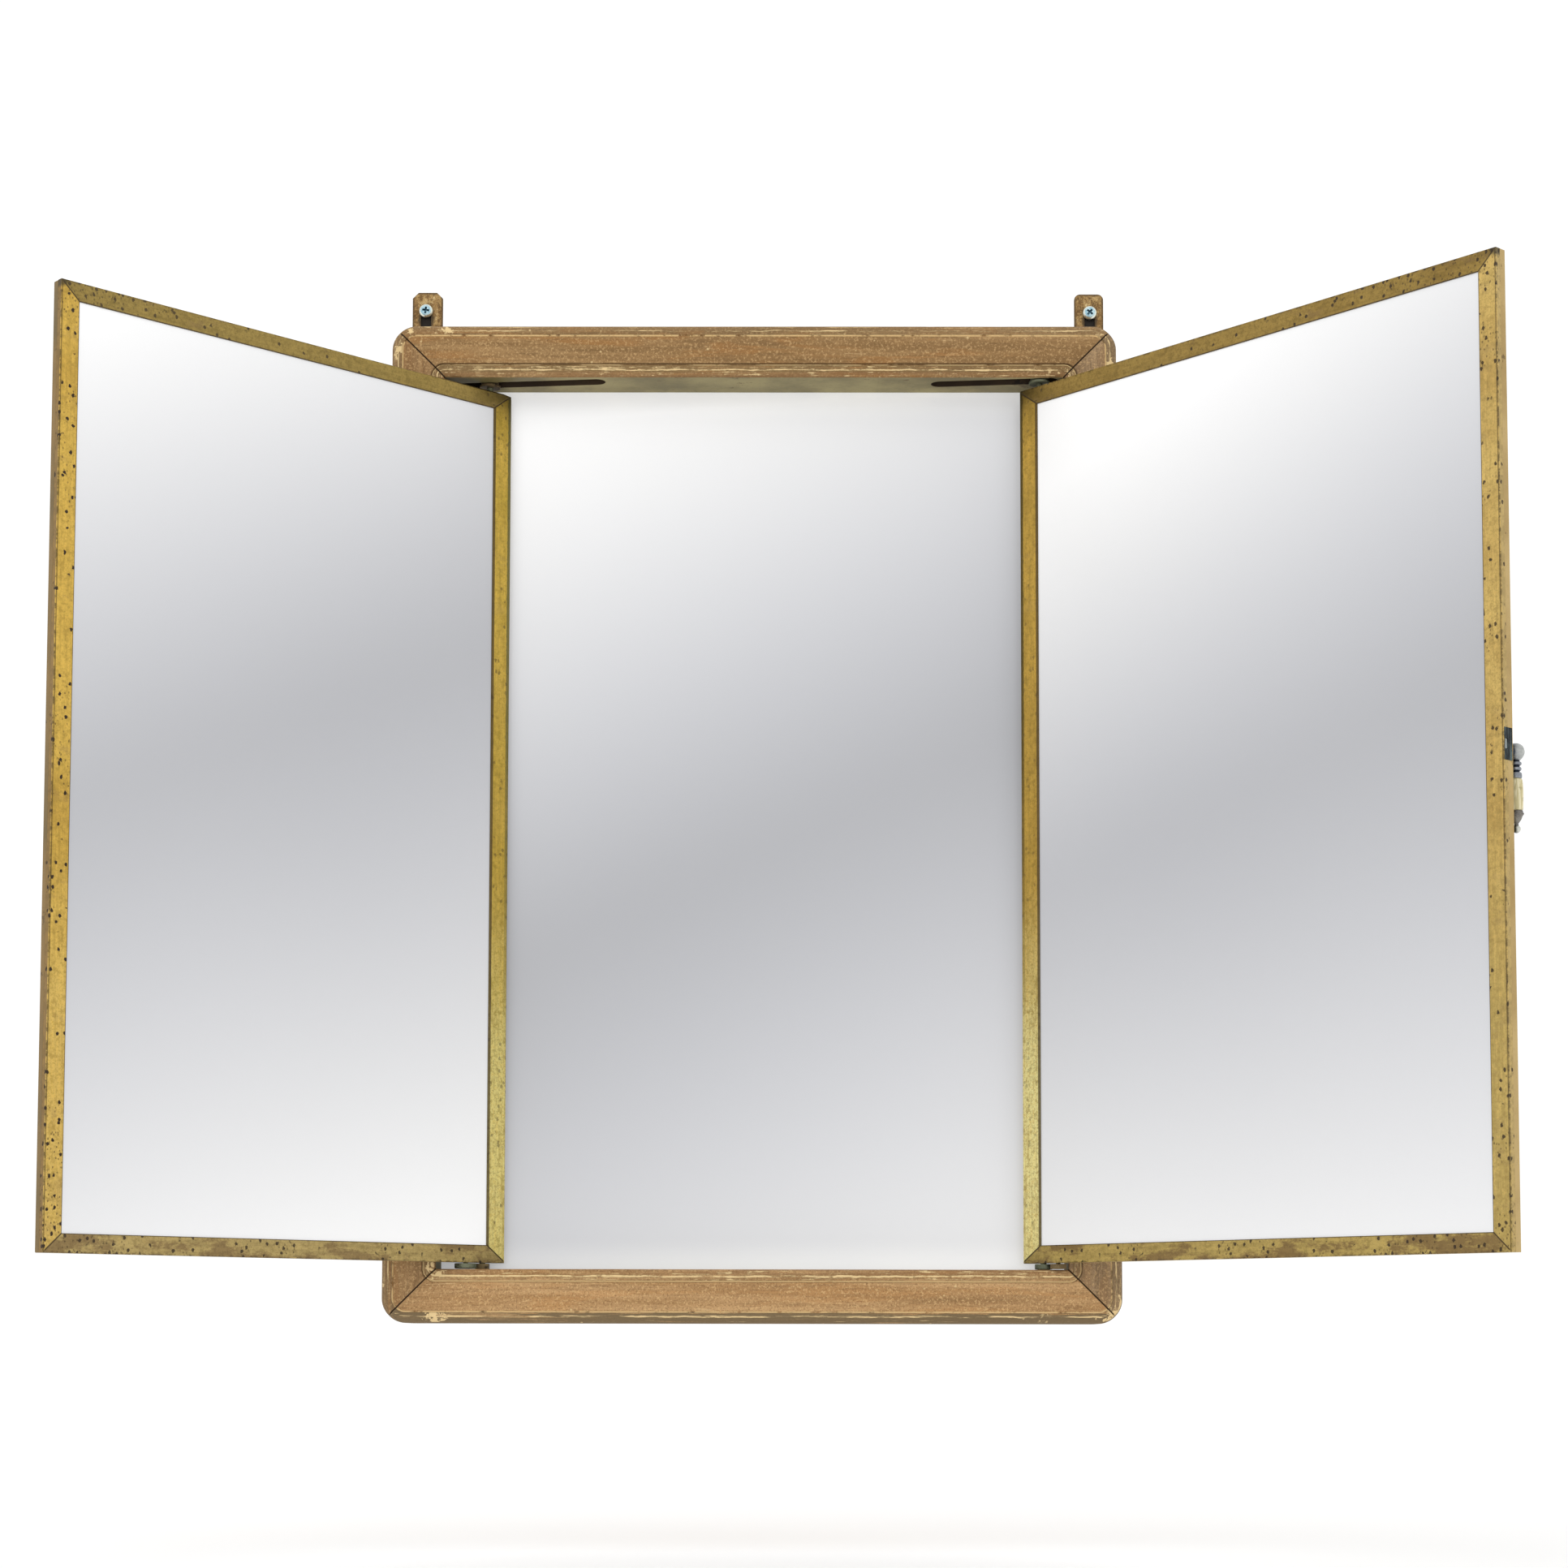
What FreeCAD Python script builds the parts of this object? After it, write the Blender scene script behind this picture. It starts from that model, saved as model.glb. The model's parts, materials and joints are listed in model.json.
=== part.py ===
import FreeCAD, Part
import math
import os

# Wall-hung folding triptych mirror. All lengths in millimetres.
# +X runs to the viewer's right, +Y runs into the wall, +Z is up.
# The origin is the centre of the flat back face.

os.makedirs("parts", exist_ok=True)
V = FreeCAD.Vector
UP = V(0, 0, 1)

# ---- wooden frame ----
HALF_W = 240.0
HALF_H = 330.0
RAIL = 35.0
DEPTH = 45.0
CORNER_R = 16.0
BEAD_R = 5.0
QUIRK_AT = 7.0
QUIRK_W = 1.0
QUIRK_D = 0.8
LIP_W = 8.5
LIP_DROP = 0.7
LIP_R = 2.3
IN_W = HALF_W - RAIL
IN_H = HALF_H - RAIL

# ---- centre mirror and its backing ----
GLASS_Y = -8.5
GLASS_T = 3.5
CARD_T = 1.5
PANEL_T = 3.5
GLASS_LAP = 6.0
PANEL_LAP = 14.0
PANEL_SCREW_X = 215.0
PANEL_SCREW_Z = 200.0

# ---- pivot grooves in the top and bottom rails: (x, y) of the two end centres ----
GROOVE_W = 12.0
GROOVE_D = 8.0
GROOVES = {
    "left": ((-193.0, -23.13), (-105.0, -32.03)),
    "right": ((196.0, -34.93), (123.7, -27.43)),
}

# ---- wings ----
WING_FRONT = 4.0
WING_BEHIND = 4.9
WING_Z0 = -290.6
WING_Z1 = 290.2
STRIP = 11.5
FREE_STRIP = 12.4
BRASS_T = 1.0
FRONT_R = 2.0
BACK_R = 3.0
WINGS = {
    "left": {"side": -1, "pivot": (-176.5, -24.8), "angle": 43.3, "back": 15.9, "width": 340.9,
             "hinge_strip": 15.4, "pad_at": 13.6},
    "right": {"side": 1, "pivot": (189.5, -34.26), "angle": 47.5, "back": 15.15, "width": 378.95,
              "hinge_strip": 16.4, "pad_at": 13.0},
}

# ---- pivots ----
SHOE_R = 5.9
PIN_R = 1.95
BORE_R = 2.0
BLOCK_H = 8.0
BLOCK_L = 27.0
BLOCK_BEFORE = 9.0
LEFT_PAD_R = 7.2
LEFT_HEAD_HALF = 4.4

# ---- hangers and screws ----
HANGERS = {
    "left": {"x": -221.5, "half": 10.2, "top": 366.0, "screw_x": -222.6, "screw_z": 353.2, "corner": 4.0},
    "right": {"x": 225.6, "half": 9.8, "top": 365.0, "screw_x": 226.2, "screw_z": 352.0, "corner": 4.0},
}
HANGER_T = 2.0
HANGER_BOTTOM = 311.0
HANGER_HOLE_R = 2.3
SLOT_HALF = 3.4
SLOT_DROP = 13.0
SLOT_DEEP = 1.3
HANGER_SCREWS = {"lower": 316.0, "upper": 325.0}
WALL_SCREW_R = 2.5
WALL_SCREW_HEAD_R = 4.9

# ---- latch on the right wing ----
LATCH_HALF_H = 9.5
LATCH_DEEP = 11.0
LATCH_PLATE_T = 1.0
LATCH_PLATE = (-4.4, 3.4)
HANDLE_IN = 7.0
HANDLE_Z = -2.0
HANDLE_OUT = 12.4
BALL_R = 5.4


def box(x0, x1, y0, y1, z0, z1):
    return Part.makeBox(x1 - x0, y1 - y0, z1 - z0, V(x0, y0, z0))


def post(x, y, r, z0, z1):
    return Part.makeCylinder(r, z1 - z0, V(x, y, z0), UP)


def rod_y(x, z, r, y0, y1):
    return Part.makeCylinder(r, y1 - y0, V(x, y0, z), V(0, 1, 0))


def slab(points, y0, y1):
    """A prism through the thickness of the frame from a closed outline in X and Z."""
    wire = Part.makePolygon([V(x, y0, z) for x, z in points + points[:1]])
    return Part.Face(wire).extrude(V(0, y1 - y0, 0))


def rounded_slab(half_w, half_h, r, y0, y1):
    body = box(-half_w, half_w, y0, y1, -half_h, half_h)
    edges = [e for e in body.Edges if abs(e.Vertexes[0].Y - e.Vertexes[1].Y) > 0.1]
    return body.makeFillet(r, edges)


def turned(profile, centre, axis):
    """A solid of revolution: profile is a list of (radius, height) points along the axis."""
    wire = Part.makePolygon([V(r, 0, h) for r, h in profile + profile[:1]])
    body = Part.Face(wire).revolve(V(0, 0, 0), UP, 360)
    body.Placement = FreeCAD.Placement(V(*centre), FreeCAD.Rotation(UP, V(*axis)))
    return body


def save(shape, name):
    shape = shape.removeSplitter() if len(shape.Solids) == 1 else shape
    shape.exportStep("parts/" + name + ".step")


# ---------------------------------------------------------------- frame
def groove(name, z0, z1):
    (x0, y0), (x1, y1) = GROOVES[name]
    length = math.hypot(x1 - x0, y1 - y0)
    r = GROOVE_W / 2.0
    slot = box(0, length, -r, r, z0, z1)
    slot = slot.fuse([post(0, 0, r, z0, z1), post(length, 0, r, z0, z1)])
    slot.rotate(V(0, 0, 0), UP, math.degrees(math.atan2(y1 - y0, x1 - x0)))
    slot.translate(V(x0, y0, 0))
    return slot


def frame_ring():
    ring = rounded_slab(HALF_W, HALF_H, CORNER_R, -DEPTH, 0)
    front = [e for e in ring.Edges if max(abs(v.Y + DEPTH) for v in e.Vertexes) < 0.01]
    ring = ring.makeFillet(BEAD_R, front)
    outer = rounded_slab(HALF_W - QUIRK_AT, HALF_H - QUIRK_AT, CORNER_R - QUIRK_AT, -DEPTH - 1, -DEPTH + QUIRK_D)
    inset = QUIRK_AT + QUIRK_W
    inner = rounded_slab(HALF_W - inset, HALF_H - inset, CORNER_R - inset, -DEPTH - 1, -DEPTH + QUIRK_D)
    ring = ring.cut(outer.cut(inner))
    lip = rounded_slab(IN_W + LIP_W, IN_H + LIP_W, LIP_W, -DEPTH - 1, -DEPTH + LIP_DROP)
    ring = ring.cut(lip)
    ring = ring.cut(box(-IN_W, IN_W, -DEPTH - 1, 1, -IN_H, IN_H))
    y_lip = -DEPTH + LIP_DROP
    arris = []
    for e in ring.Edges:
        on_plane = max(abs(v.Y - y_lip) for v in e.Vertexes) < 0.01
        inside = max(abs(v.X) for v in e.Vertexes) < IN_W + 0.1 and max(abs(v.Z) for v in e.Vertexes) < IN_H + 0.1
        if on_plane and inside:
            arris.append(e)
    ring = ring.makeFillet(LIP_R, arris)
    ring = ring.cut(box(-IN_W - GLASS_LAP, IN_W + GLASS_LAP, GLASS_Y, 1, -IN_H - GLASS_LAP, IN_H + GLASS_LAP))
    ring = ring.cut(box(-IN_W - PANEL_LAP, IN_W + PANEL_LAP, -PANEL_T, 1, -IN_H - PANEL_LAP, IN_H + PANEL_LAP))
    for name in GROOVES:
        ring = ring.cut(groove(name, IN_H - 1, IN_H + GROOVE_D))
        ring = ring.cut(groove(name, -IN_H - GROOVE_D, -IN_H + 1))
    return ring


def strike_cuts():
    return [box(-IN_W - 1.2, -IN_W + 1, -36.0, -23.0, -16, 16),
            box(-IN_W - 10, -IN_W + 1, -31.5, -26.7, -4, 4)]


def screw_bore(x, z, r, y0):
    return rod_y(x, z, r, y0, 1)


def build_frame():
    ring = frame_ring()
    for x in (-PANEL_SCREW_X, PANEL_SCREW_X):
        for z in (-PANEL_SCREW_Z, PANEL_SCREW_Z):
            ring = ring.cut(screw_bore(x, z, 1.4, -16))
    for h in HANGERS.values():
        ring = ring.cut(box(h["x"] - h["half"], h["x"] + h["half"], -HANGER_T, 1, HANGER_BOTTOM, HALF_H + 1))
        for z in HANGER_SCREWS.values():
            ring = ring.cut(screw_bore(h["x"], z, 1.5, -16))
    for cut in strike_cuts():
        ring = ring.cut(cut)
    for z in (-11.5, 11.5):
        ring = ring.cut(Part.makeCylinder(1.3, 12, V(-IN_W + 1, -29.1, z), V(-1, 0, 0)))
    e = 20.0
    top = [(-HALF_W - e, HALF_H + e), (HALF_W + e, HALF_H + e), (0, HALF_H - HALF_W)]
    quarters = {
        "top_rail": top,
        "bottom_rail": [(x, -z) for x, z in top],
        "left_stile": [(-HALF_W - e, HALF_H + e), (0, HALF_H - HALF_W), (0, HALF_W - HALF_H), (-HALF_W - e, -HALF_H - e)],
        "right_stile": [(HALF_W + e, HALF_H + e), (0, HALF_H - HALF_W), (0, HALF_W - HALF_H), (HALF_W + e, -HALF_H - e)],
    }
    for name, outline in quarters.items():
        save(ring.common(slab(outline, -DEPTH - 1, 1)), name)


def build_centre():
    gap = 0.6
    w = IN_W + GLASS_LAP - gap
    h = IN_H + GLASS_LAP - gap
    card_y = GLASS_Y + GLASS_T
    save(box(-w, w, GLASS_Y, card_y, -h, h), "centre_mirror")
    save(box(-w, w, card_y, -PANEL_T, -h, h), "card_backing")
    w = IN_W + PANEL_LAP - gap
    h = IN_H + PANEL_LAP - gap
    panel = box(-w, w, -PANEL_T, 0, -h, h)
    count = 0
    for z in (PANEL_SCREW_Z, -PANEL_SCREW_Z):
        for x in (-PANEL_SCREW_X, PANEL_SCREW_X):
            count += 1
            screw = countersunk(x, z, 3.0, 1.4, 0.0, 15.5)
            panel = panel.cut(screw)
            save(screw, "panel_screw_%d" % count)
    save(panel, "back_panel")


def countersunk(x, z, head_r, shank_r, y_face, length):
    cone = Part.makeCone(head_r, shank_r, head_r - shank_r, V(x, y_face, z), V(0, -1, 0))
    shank = rod_y(x, z, shank_r, y_face - length, y_face - (head_r - shank_r) + 0.05)
    return cone.fuse(shank)


# ---------------------------------------------------------------- hangers
def build_hangers():
    for name, h in HANGERS.items():
        x0, x1, top, c = h["x"] - h["half"], h["x"] + h["half"], h["top"], h["corner"]
        outline = [(x0, HANGER_BOTTOM), (x1, HANGER_BOTTOM), (x1, top - c), (x1 - c, top), (x0 + c, top), (x0, top - c)]
        plate = slab(outline, -HANGER_T, 0)
        if name == "right":
            plate = box(x0, x1, -HANGER_T, 0, HANGER_BOTTOM, top)
            edges = [e for e in plate.Edges
                     if abs(e.Vertexes[0].Y - e.Vertexes[1].Y) > 0.1 and e.Vertexes[0].Z > top - 0.1]
            plate = plate.makeFillet(c, edges)
        sx, sz = h["screw_x"], h["screw_z"]
        floor_y = -HANGER_T + SLOT_DEEP
        plate = plate.cut(rod_y(sx, sz, HANGER_HOLE_R, -3, 1))
        plate = plate.cut(box(sx - SLOT_HALF, sx + SLOT_HALF, -3, floor_y, sz - SLOT_DROP, sz))
        plate = plate.cut(rod_y(sx, sz - SLOT_DROP, SLOT_HALF, -3, floor_y))
        for place, z in HANGER_SCREWS.items():
            screw = countersunk(h["x"], z, 3.2, 1.5, 0.0, 15.5)
            plate = plate.cut(screw)
            save(screw, "%s_hanger_screw_%s" % (name, place))
        save(plate, name + "_hanger")
        head = Part.makeCylinder(WALL_SCREW_HEAD_R, 3.0, V(sx, -HANGER_T - 3.0, sz), V(0, 1, 0))
        rim = [e for e in head.Edges if abs(e.BoundBox.YMin + HANGER_T + 3.0) < 0.01 and e.BoundBox.YLength < 0.01]
        head = head.makeFillet(1.8, rim)
        for w, l in ((1.1, 4.7), (4.7, 1.1)):
            head = head.cut(box(sx - w / 2, sx + w / 2, -HANGER_T - 4, -HANGER_T - 1.4, sz - l / 2, sz + l / 2))
        neck = rod_y(sx, sz, 2.0, -HANGER_T, 1.0)
        shank = rod_y(sx, sz, WALL_SCREW_R, 1.0, 37.0)
        tip = Part.makeCone(WALL_SCREW_R, 0.5, 3.0, V(sx, 37.0, sz), V(0, 1, 0))
        save(head.fuse([neck, shank, tip]), name + "_wall_screw")


def build_strike():
    plate = box(-IN_W - 1.2, -IN_W, -36.0, -23.0, -16, 16)
    plate = plate.cut(box(-IN_W - 2, -IN_W + 1, -31.5, -26.7, -4, 4))
    for name, z in (("lower", -11.5), ("upper", 11.5)):
        cone = Part.makeCone(2.4, 1.3, 1.1, V(-IN_W, -29.1, z), V(-1, 0, 0))
        screw = cone.fuse(Part.makeCylinder(1.3, 10.5, V(-IN_W - 0.5, -29.1, z), V(-1, 0, 0)))
        plate = plate.cut(screw)
        save(screw, "strike_screw_" + name)
    save(plate, "strike_plate")


# ---------------------------------------------------------------- wings
class Wing:
    """Local axes: u runs from the hinge-side tip to the free edge, w is proud of the mirror face."""

    def __init__(self, name):
        data = WINGS[name]
        self.name = name
        self.side = data["side"]
        self.pivot = data["pivot"]
        self.angle = data["angle"]
        self.back = data["back"]
        self.width = data["width"]
        self.hinge_strip = data["hinge_strip"]
        self.block_start = self.back - BLOCK_BEFORE
        self.pad_u = self.back + data["pad_at"]

    def block(self, u0, u1, w0, w1, z0, z1):
        xs = sorted((self.side * u0, self.side * u1))
        return box(xs[0], xs[1], -w1, -w0, z0, z1)

    def bar(self, u, z, r, w0, w1):
        return rod_y(self.side * u, z, r, -w1, -w0)

    def stand(self, u, r, z0, z1, w=0.0):
        return post(self.side * u, -w, r, z0, z1)

    def save(self, shape, node):
        shape = shape.copy()
        shape.translate(V(-self.side * self.back, 0, 0))
        shape.rotate(V(0, 0, 0), UP, -self.side * self.angle)
        shape.translate(V(self.pivot[0], self.pivot[1], 0))
        save(shape, node)


def pivot_blocks(wing):
    u0, u1 = wing.block_start, wing.block_start + BLOCK_L
    return {"bottom": wing.block(u0, u1, -3.0, 2.8, WING_Z0, WING_Z0 + BLOCK_H),
            "top": wing.block(u0, u1, -3.0, 2.8, WING_Z1 - BLOCK_H, WING_Z1)}


def latch_pocket(wing):
    w = wing.width
    body = wing.block(w - LATCH_DEEP, w + 1, -3.2, 3.0, -LATCH_HALF_H, LATCH_HALF_H)
    low, high = LATCH_PLATE
    return body.fuse(wing.block(w - LATCH_PLATE_T - 0.1, w + 1, low - 0.1, high + 0.1, -LATCH_HALF_H, LATCH_HALF_H))


def nosed(wing, shape):
    """Rounds the front and back corners along the hinge side."""
    fore, aft = WING_FRONT - FRONT_R, BACK_R - WING_BEHIND
    front = wing.stand(FRONT_R, FRONT_R, WING_Z0, WING_Z1, fore)
    back = wing.stand(BACK_R, BACK_R, WING_Z0, WING_Z1, aft)
    flat = wing.block(0, BACK_R, aft, fore, WING_Z0, WING_Z1)
    face = wing.block(FRONT_R, BACK_R, 0, WING_FRONT, WING_Z0, WING_Z1)
    body = wing.block(BACK_R, wing.width, -WING_BEHIND, WING_FRONT, WING_Z0, WING_Z1)
    return shape.common(body.fuse([front, back, flat, face]))


def build_wing_shell(wing):
    w = wing.width
    seat = WING_FRONT - BRASS_T
    board = nosed(wing, wing.block(0, w, -WING_BEHIND, 0, WING_Z0, WING_Z1))
    inset = BRASS_T + 0.2
    glass = wing.block(FRONT_R + inset, w - inset, 0, 3.0, WING_Z0 + inset, WING_Z1 - inset)
    flange = wing.block(0, w, seat, WING_FRONT, WING_Z0, WING_Z1)
    run_h, run_f = wing.hinge_strip, FREE_STRIP
    window = wing.block(run_h, w - run_f, seat - 1, WING_FRONT + 1, WING_Z0 + STRIP, WING_Z1 - STRIP)
    flange = flange.cut(window)
    hem = wing.block(0, w, 0, seat, WING_Z0, WING_Z1)
    hem = hem.cut(wing.block(FRONT_R + BRASS_T, w - BRASS_T, -1, seat + 1, WING_Z0 + BRASS_T, WING_Z1 - BRASS_T))
    ring = nosed(wing, flange.fuse(hem))
    for shape in pivot_blocks(wing).values():
        board = board.cut(shape)
        glass = glass.cut(shape)
        ring = ring.cut(shape)
    if wing.name == "right":
        pocket = latch_pocket(wing)
        board = board.cut(pocket)
        glass = glass.cut(pocket)
        ring = ring.cut(pocket)
        board = board.cut(wing.bar(w - HANDLE_IN, HANDLE_Z, BORE_R + 0.4, -WING_BEHIND - 1, 0))
    wing.save(board, wing.name + "_wing_board")
    wing.save(glass, wing.name + "_wing_mirror")
    s = wing.side
    corner_in = {
        "bottom": [(0, WING_Z0), (w, WING_Z0), (w - run_f, WING_Z0 + STRIP), (run_h, WING_Z0 + STRIP)],
        "top": [(0, WING_Z1), (w, WING_Z1), (w - run_f, WING_Z1 - STRIP), (run_h, WING_Z1 - STRIP)],
        "hinge": [(0, WING_Z0), (run_h, WING_Z0 + STRIP), (run_h, WING_Z1 - STRIP), (0, WING_Z1)],
        "free": [(w, WING_Z0), (w - run_f, WING_Z0 + STRIP), (w - run_f, WING_Z1 - STRIP), (w, WING_Z1)],
    }
    for where, outline in corner_in.items():
        wedge = slab([(s * u, z) for u, z in outline], -WING_FRONT - 1, WING_BEHIND + 1)
        wing.save(ring.common(wedge), "%s_wing_strip_%s" % (wing.name, where))


def build_wing_pivots(wing):
    for where, shape in pivot_blocks(wing).items():
        if where == "bottom":
            shape = shape.cut(wing.stand(wing.back, BORE_R, WING_Z0 - 1, WING_Z0 + 7.2))
            shape = shape.cut(wing.stand(wing.pad_u, 1.5, WING_Z0 - 1, WING_Z0 + 6))
        else:
            shape = shape.cut(wing.stand(wing.back, BORE_R, WING_Z1 - 7.2, WING_Z1 + 1))
        wing.save(shape, "%s_pivot_block_%s" % (wing.name, where))
    pad_u = wing.pad_u
    stem = wing.stand(pad_u, 1.5, WING_Z0 - 0.8, WING_Z0 + 5.8)
    if wing.name == "left":
        foot = wing.stand(pad_u, LEFT_PAD_R, -IN_H + 0.5, WING_Z0 - 0.6)
    else:
        foot = wing.block(pad_u - 4, pad_u + 4, -3.5, 3.5, -IN_H + 0.5, WING_Z0 - 0.6)
    wing.save(foot.fuse(stem), wing.name + "_rub_pad")


def build_carriage(wing):
    x, y = wing.pivot
    name = wing.name
    base = -IN_H - GROOVE_D + 0.5
    shoe = post(x, y, SHOE_R, base, -IN_H - 0.3)
    neck = post(x, y, 4.0, -IN_H - 0.4, -IN_H + 0.5)
    if name == "left":
        h = LEFT_HEAD_HALF
        head = box(x - h, x + h, y - h, y + h, -IN_H + 0.4, WING_Z0 - 0.6)
    else:
        head = post(x, y, 5.7, -IN_H + 0.4, WING_Z0 - 0.6)
    shoe = shoe.fuse([neck, head])
    pin = post(x, y, PIN_R, base + 1.5, WING_Z0 + 6.6)
    save(shoe.cut(pin), name + "_shoe_bottom")
    save(pin, name + "_pin_bottom")
    top = IN_H + GROOVE_D - 0.5
    shoe = post(x, y, SHOE_R, IN_H + 0.3, top)
    shoe = shoe.fuse([post(x, y, 4.0, IN_H - 0.6, IN_H + 0.4), post(x, y, 7.0, IN_H - 2.2, IN_H - 0.5)])
    pin = post(x, y, PIN_R, WING_Z1 - 6.6, top - 1.5)
    save(shoe.cut(pin), name + "_shoe_top")
    save(pin, name + "_pin_top")


# ---------------------------------------------------------------- latch and handle
def build_latch(wing):
    w = wing.width
    case = wing.block(w - LATCH_DEEP + 0.2, w, -3.0, 2.8, -LATCH_HALF_H, LATCH_HALF_H)
    case = case.fuse(wing.block(w - LATCH_PLATE_T, w, *LATCH_PLATE, -LATCH_HALF_H, LATCH_HALF_H))
    case = case.cut(wing.block(w - 10.6, w + 1, 0.3, 2.5, -3.1, 3.1))
    case = case.cut(wing.bar(w - HANDLE_IN, HANDLE_Z, BORE_R, -4, -0.3))
    wing.save(case, "latch_case")
    bolt = wing.block(w - 10.2, w - 0.2, 0.4, 2.4, -3.0, 3.0)
    wing.save(bolt, "latch_bolt")
    u = w - HANDLE_IN
    rear = -WING_BEHIND
    rose = wing.bar(u, HANDLE_Z, 6.0, rear - 2.0, rear).fuse(wing.bar(u, HANDLE_Z, 3.6, rear - 3.5, rear - 2.0))
    wing.save(rose.cut(wing.bar(u, HANDLE_Z, BORE_R, rear - 5.0, rear + 1.0)), "handle_rose")
    out = rear - HANDLE_OUT
    spindle = wing.bar(u, HANDLE_Z, PIN_R, out + 2.0, -0.5).fuse(wing.bar(u, HANDLE_Z, 3.0, out + 3.9, out + 8.0))
    wing.save(spindle, "handle_spindle")
    centre = (wing.side * u, -out, HANDLE_Z)
    ball = Part.makeSphere(BALL_R, V(*centre))
    ball = ball.cut(spindle)
    neck = [(0, 4.0), (2.2, 4.0), (2.2, 8.0), (3.2, 8.6), (3.2, 9.6), (2.3, 10.2), (2.3, 10.8), (3.2, 11.4),
            (3.2, 12.4), (2.3, 13.0), (2.3, 13.6), (3.4, 14.2), (3.4, 15.4), (0, 15.4)]
    grip = [(0, 15.4), (3.3, 15.4), (4.1, 18.5), (4.5, 23.0), (4.4, 27.5), (3.8, 31.5), (3.2, 34.0), (0, 34.0)]
    cup = [(0, 34.0), (3.2, 34.0), (3.6, 35.2), (3.0, 36.4), (4.4, 39.4), (4.4, 40.2), (2.0, 41.0), (1.4, 42.6), (0, 42.6)]
    down = (0, 0, -1)
    neck_shape = turned(neck, centre, down)
    wing.save(ball.cut(neck_shape), "handle_ball")
    wing.save(neck_shape, "handle_neck")
    wing.save(turned(grip, centre, down), "handle_grip")
    cup_shape = turned(cup, centre, down)
    wing.save(cup_shape, "handle_cup")
    finial = Part.makeSphere(2.4, V(centre[0], centre[1], centre[2] - 44.6)).cut(cup_shape)
    wing.save(finial, "handle_finial")


build_frame()
build_centre()
build_hangers()
build_strike()
for side_name in ("left", "right"):
    leaf = Wing(side_name)
    build_wing_shell(leaf)
    build_wing_pivots(leaf)
    build_carriage(leaf)
    if side_name == "right":
        build_latch(leaf)
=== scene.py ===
import json
import math
import bpy
import bmesh
from mathutils import Matrix, Vector, noise


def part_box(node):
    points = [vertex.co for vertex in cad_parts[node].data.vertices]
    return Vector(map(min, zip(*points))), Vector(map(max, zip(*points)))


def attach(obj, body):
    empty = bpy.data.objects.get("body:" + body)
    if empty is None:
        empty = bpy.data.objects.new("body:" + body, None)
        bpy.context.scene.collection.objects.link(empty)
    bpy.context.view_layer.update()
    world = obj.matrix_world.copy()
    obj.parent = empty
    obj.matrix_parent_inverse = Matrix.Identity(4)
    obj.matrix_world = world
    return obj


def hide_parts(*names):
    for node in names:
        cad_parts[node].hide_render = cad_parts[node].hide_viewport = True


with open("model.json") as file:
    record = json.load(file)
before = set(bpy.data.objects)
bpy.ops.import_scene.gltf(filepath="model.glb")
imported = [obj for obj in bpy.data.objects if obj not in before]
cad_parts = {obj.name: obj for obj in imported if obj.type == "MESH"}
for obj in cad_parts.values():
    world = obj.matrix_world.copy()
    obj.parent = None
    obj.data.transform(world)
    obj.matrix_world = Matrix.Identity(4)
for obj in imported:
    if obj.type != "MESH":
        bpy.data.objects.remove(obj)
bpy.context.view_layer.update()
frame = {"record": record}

MM = 0.001

# ---- wooden frame, in millimetres ----
HALF_W, HALF_H = 240.0, 330.0
RAIL, DEPTH, CORNER_R, LIP_W = 35.0, 45.0, 16.0, 8.5
IN_W, IN_H = HALF_W - RAIL, HALF_H - RAIL
GROOVES = (((-193.0, -23.13), (-105.0, -32.03)), ((196.0, -34.93), (123.7, -27.43)))
GROOVE_R, GROOVE_D = 6.0, 8.0
BEAD_R = 5.2
RIM_LINE, BEAD_LINE, FINE_LINE, QUIRK_LINE, LIP_LINE = 1.6, 4.4, 7.4, 27.1, 30.4
MITRE_GAP = 0.22
REBATE_Y, BACK_STEP_Y = -8.5, -3.5
DENT_DEPTH, NICK_DEPTH, NICK_LEVEL = 0.12, 0.9, 0.55

# ---- wings, in millimetres and degrees ----
WINGS = {
    "left": {"side": -1, "pivot": (-176.5, -24.8), "angle": 43.3, "back": 15.9,
             "width": 340.9, "hinge": 15.4},
    "right": {"side": 1, "pivot": (189.5, -34.26), "angle": 47.5, "back": 15.15,
              "width": 378.95, "hinge": 16.4},
}
WING_Z0, WING_Z1 = -290.6, 290.2
STRIP, FREE_STRIP, WING_FRONT, WING_BEHIND = 11.5, 12.4, 4.0, 4.9
HANDLE_IN, HANDLE_Z, HANDLE_OUT = 7.0, -2.0, 12.4

ROUND_U, ROUND_DROP = 4.0, 4.5
HANDLE_AT = (0.4433, -0.28563)

# ---- wall screws, in millimetres ----
SCREW_ROOT, SCREW_CREST, SCREW_PITCH = 1.9, 2.45, 1.6
THREAD_FROM, THREAD_TO = 6.2, 38.0
RECESS_SIZE, RECESS_WIDTH, RECESS_DEPTH, RECESS_TAPER = 6.0, 1.7, 2.2, 0.45

# ---- glass: the share of its tone that is lit, the rest is emitted ----
MIRROR_SHOWN = 0.55
MIRROR_FLOOR, MIRROR_SOFT = 0.742, 0.045

# ---- stage ----
FLOOR_Z, FLOOR_HALF = -0.48, 30.0
WORLD_LIGHT = 1.06

# ---- camera ----
CAM_POS = (0.02879, -2.0802, -0.34205)
CAM_PITCH, CAM_YAW, CAM_ROLL = 4.452, -0.23, -0.094
CAM_LENS, CAM_SHIFT = 72.154, 0.20


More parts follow.
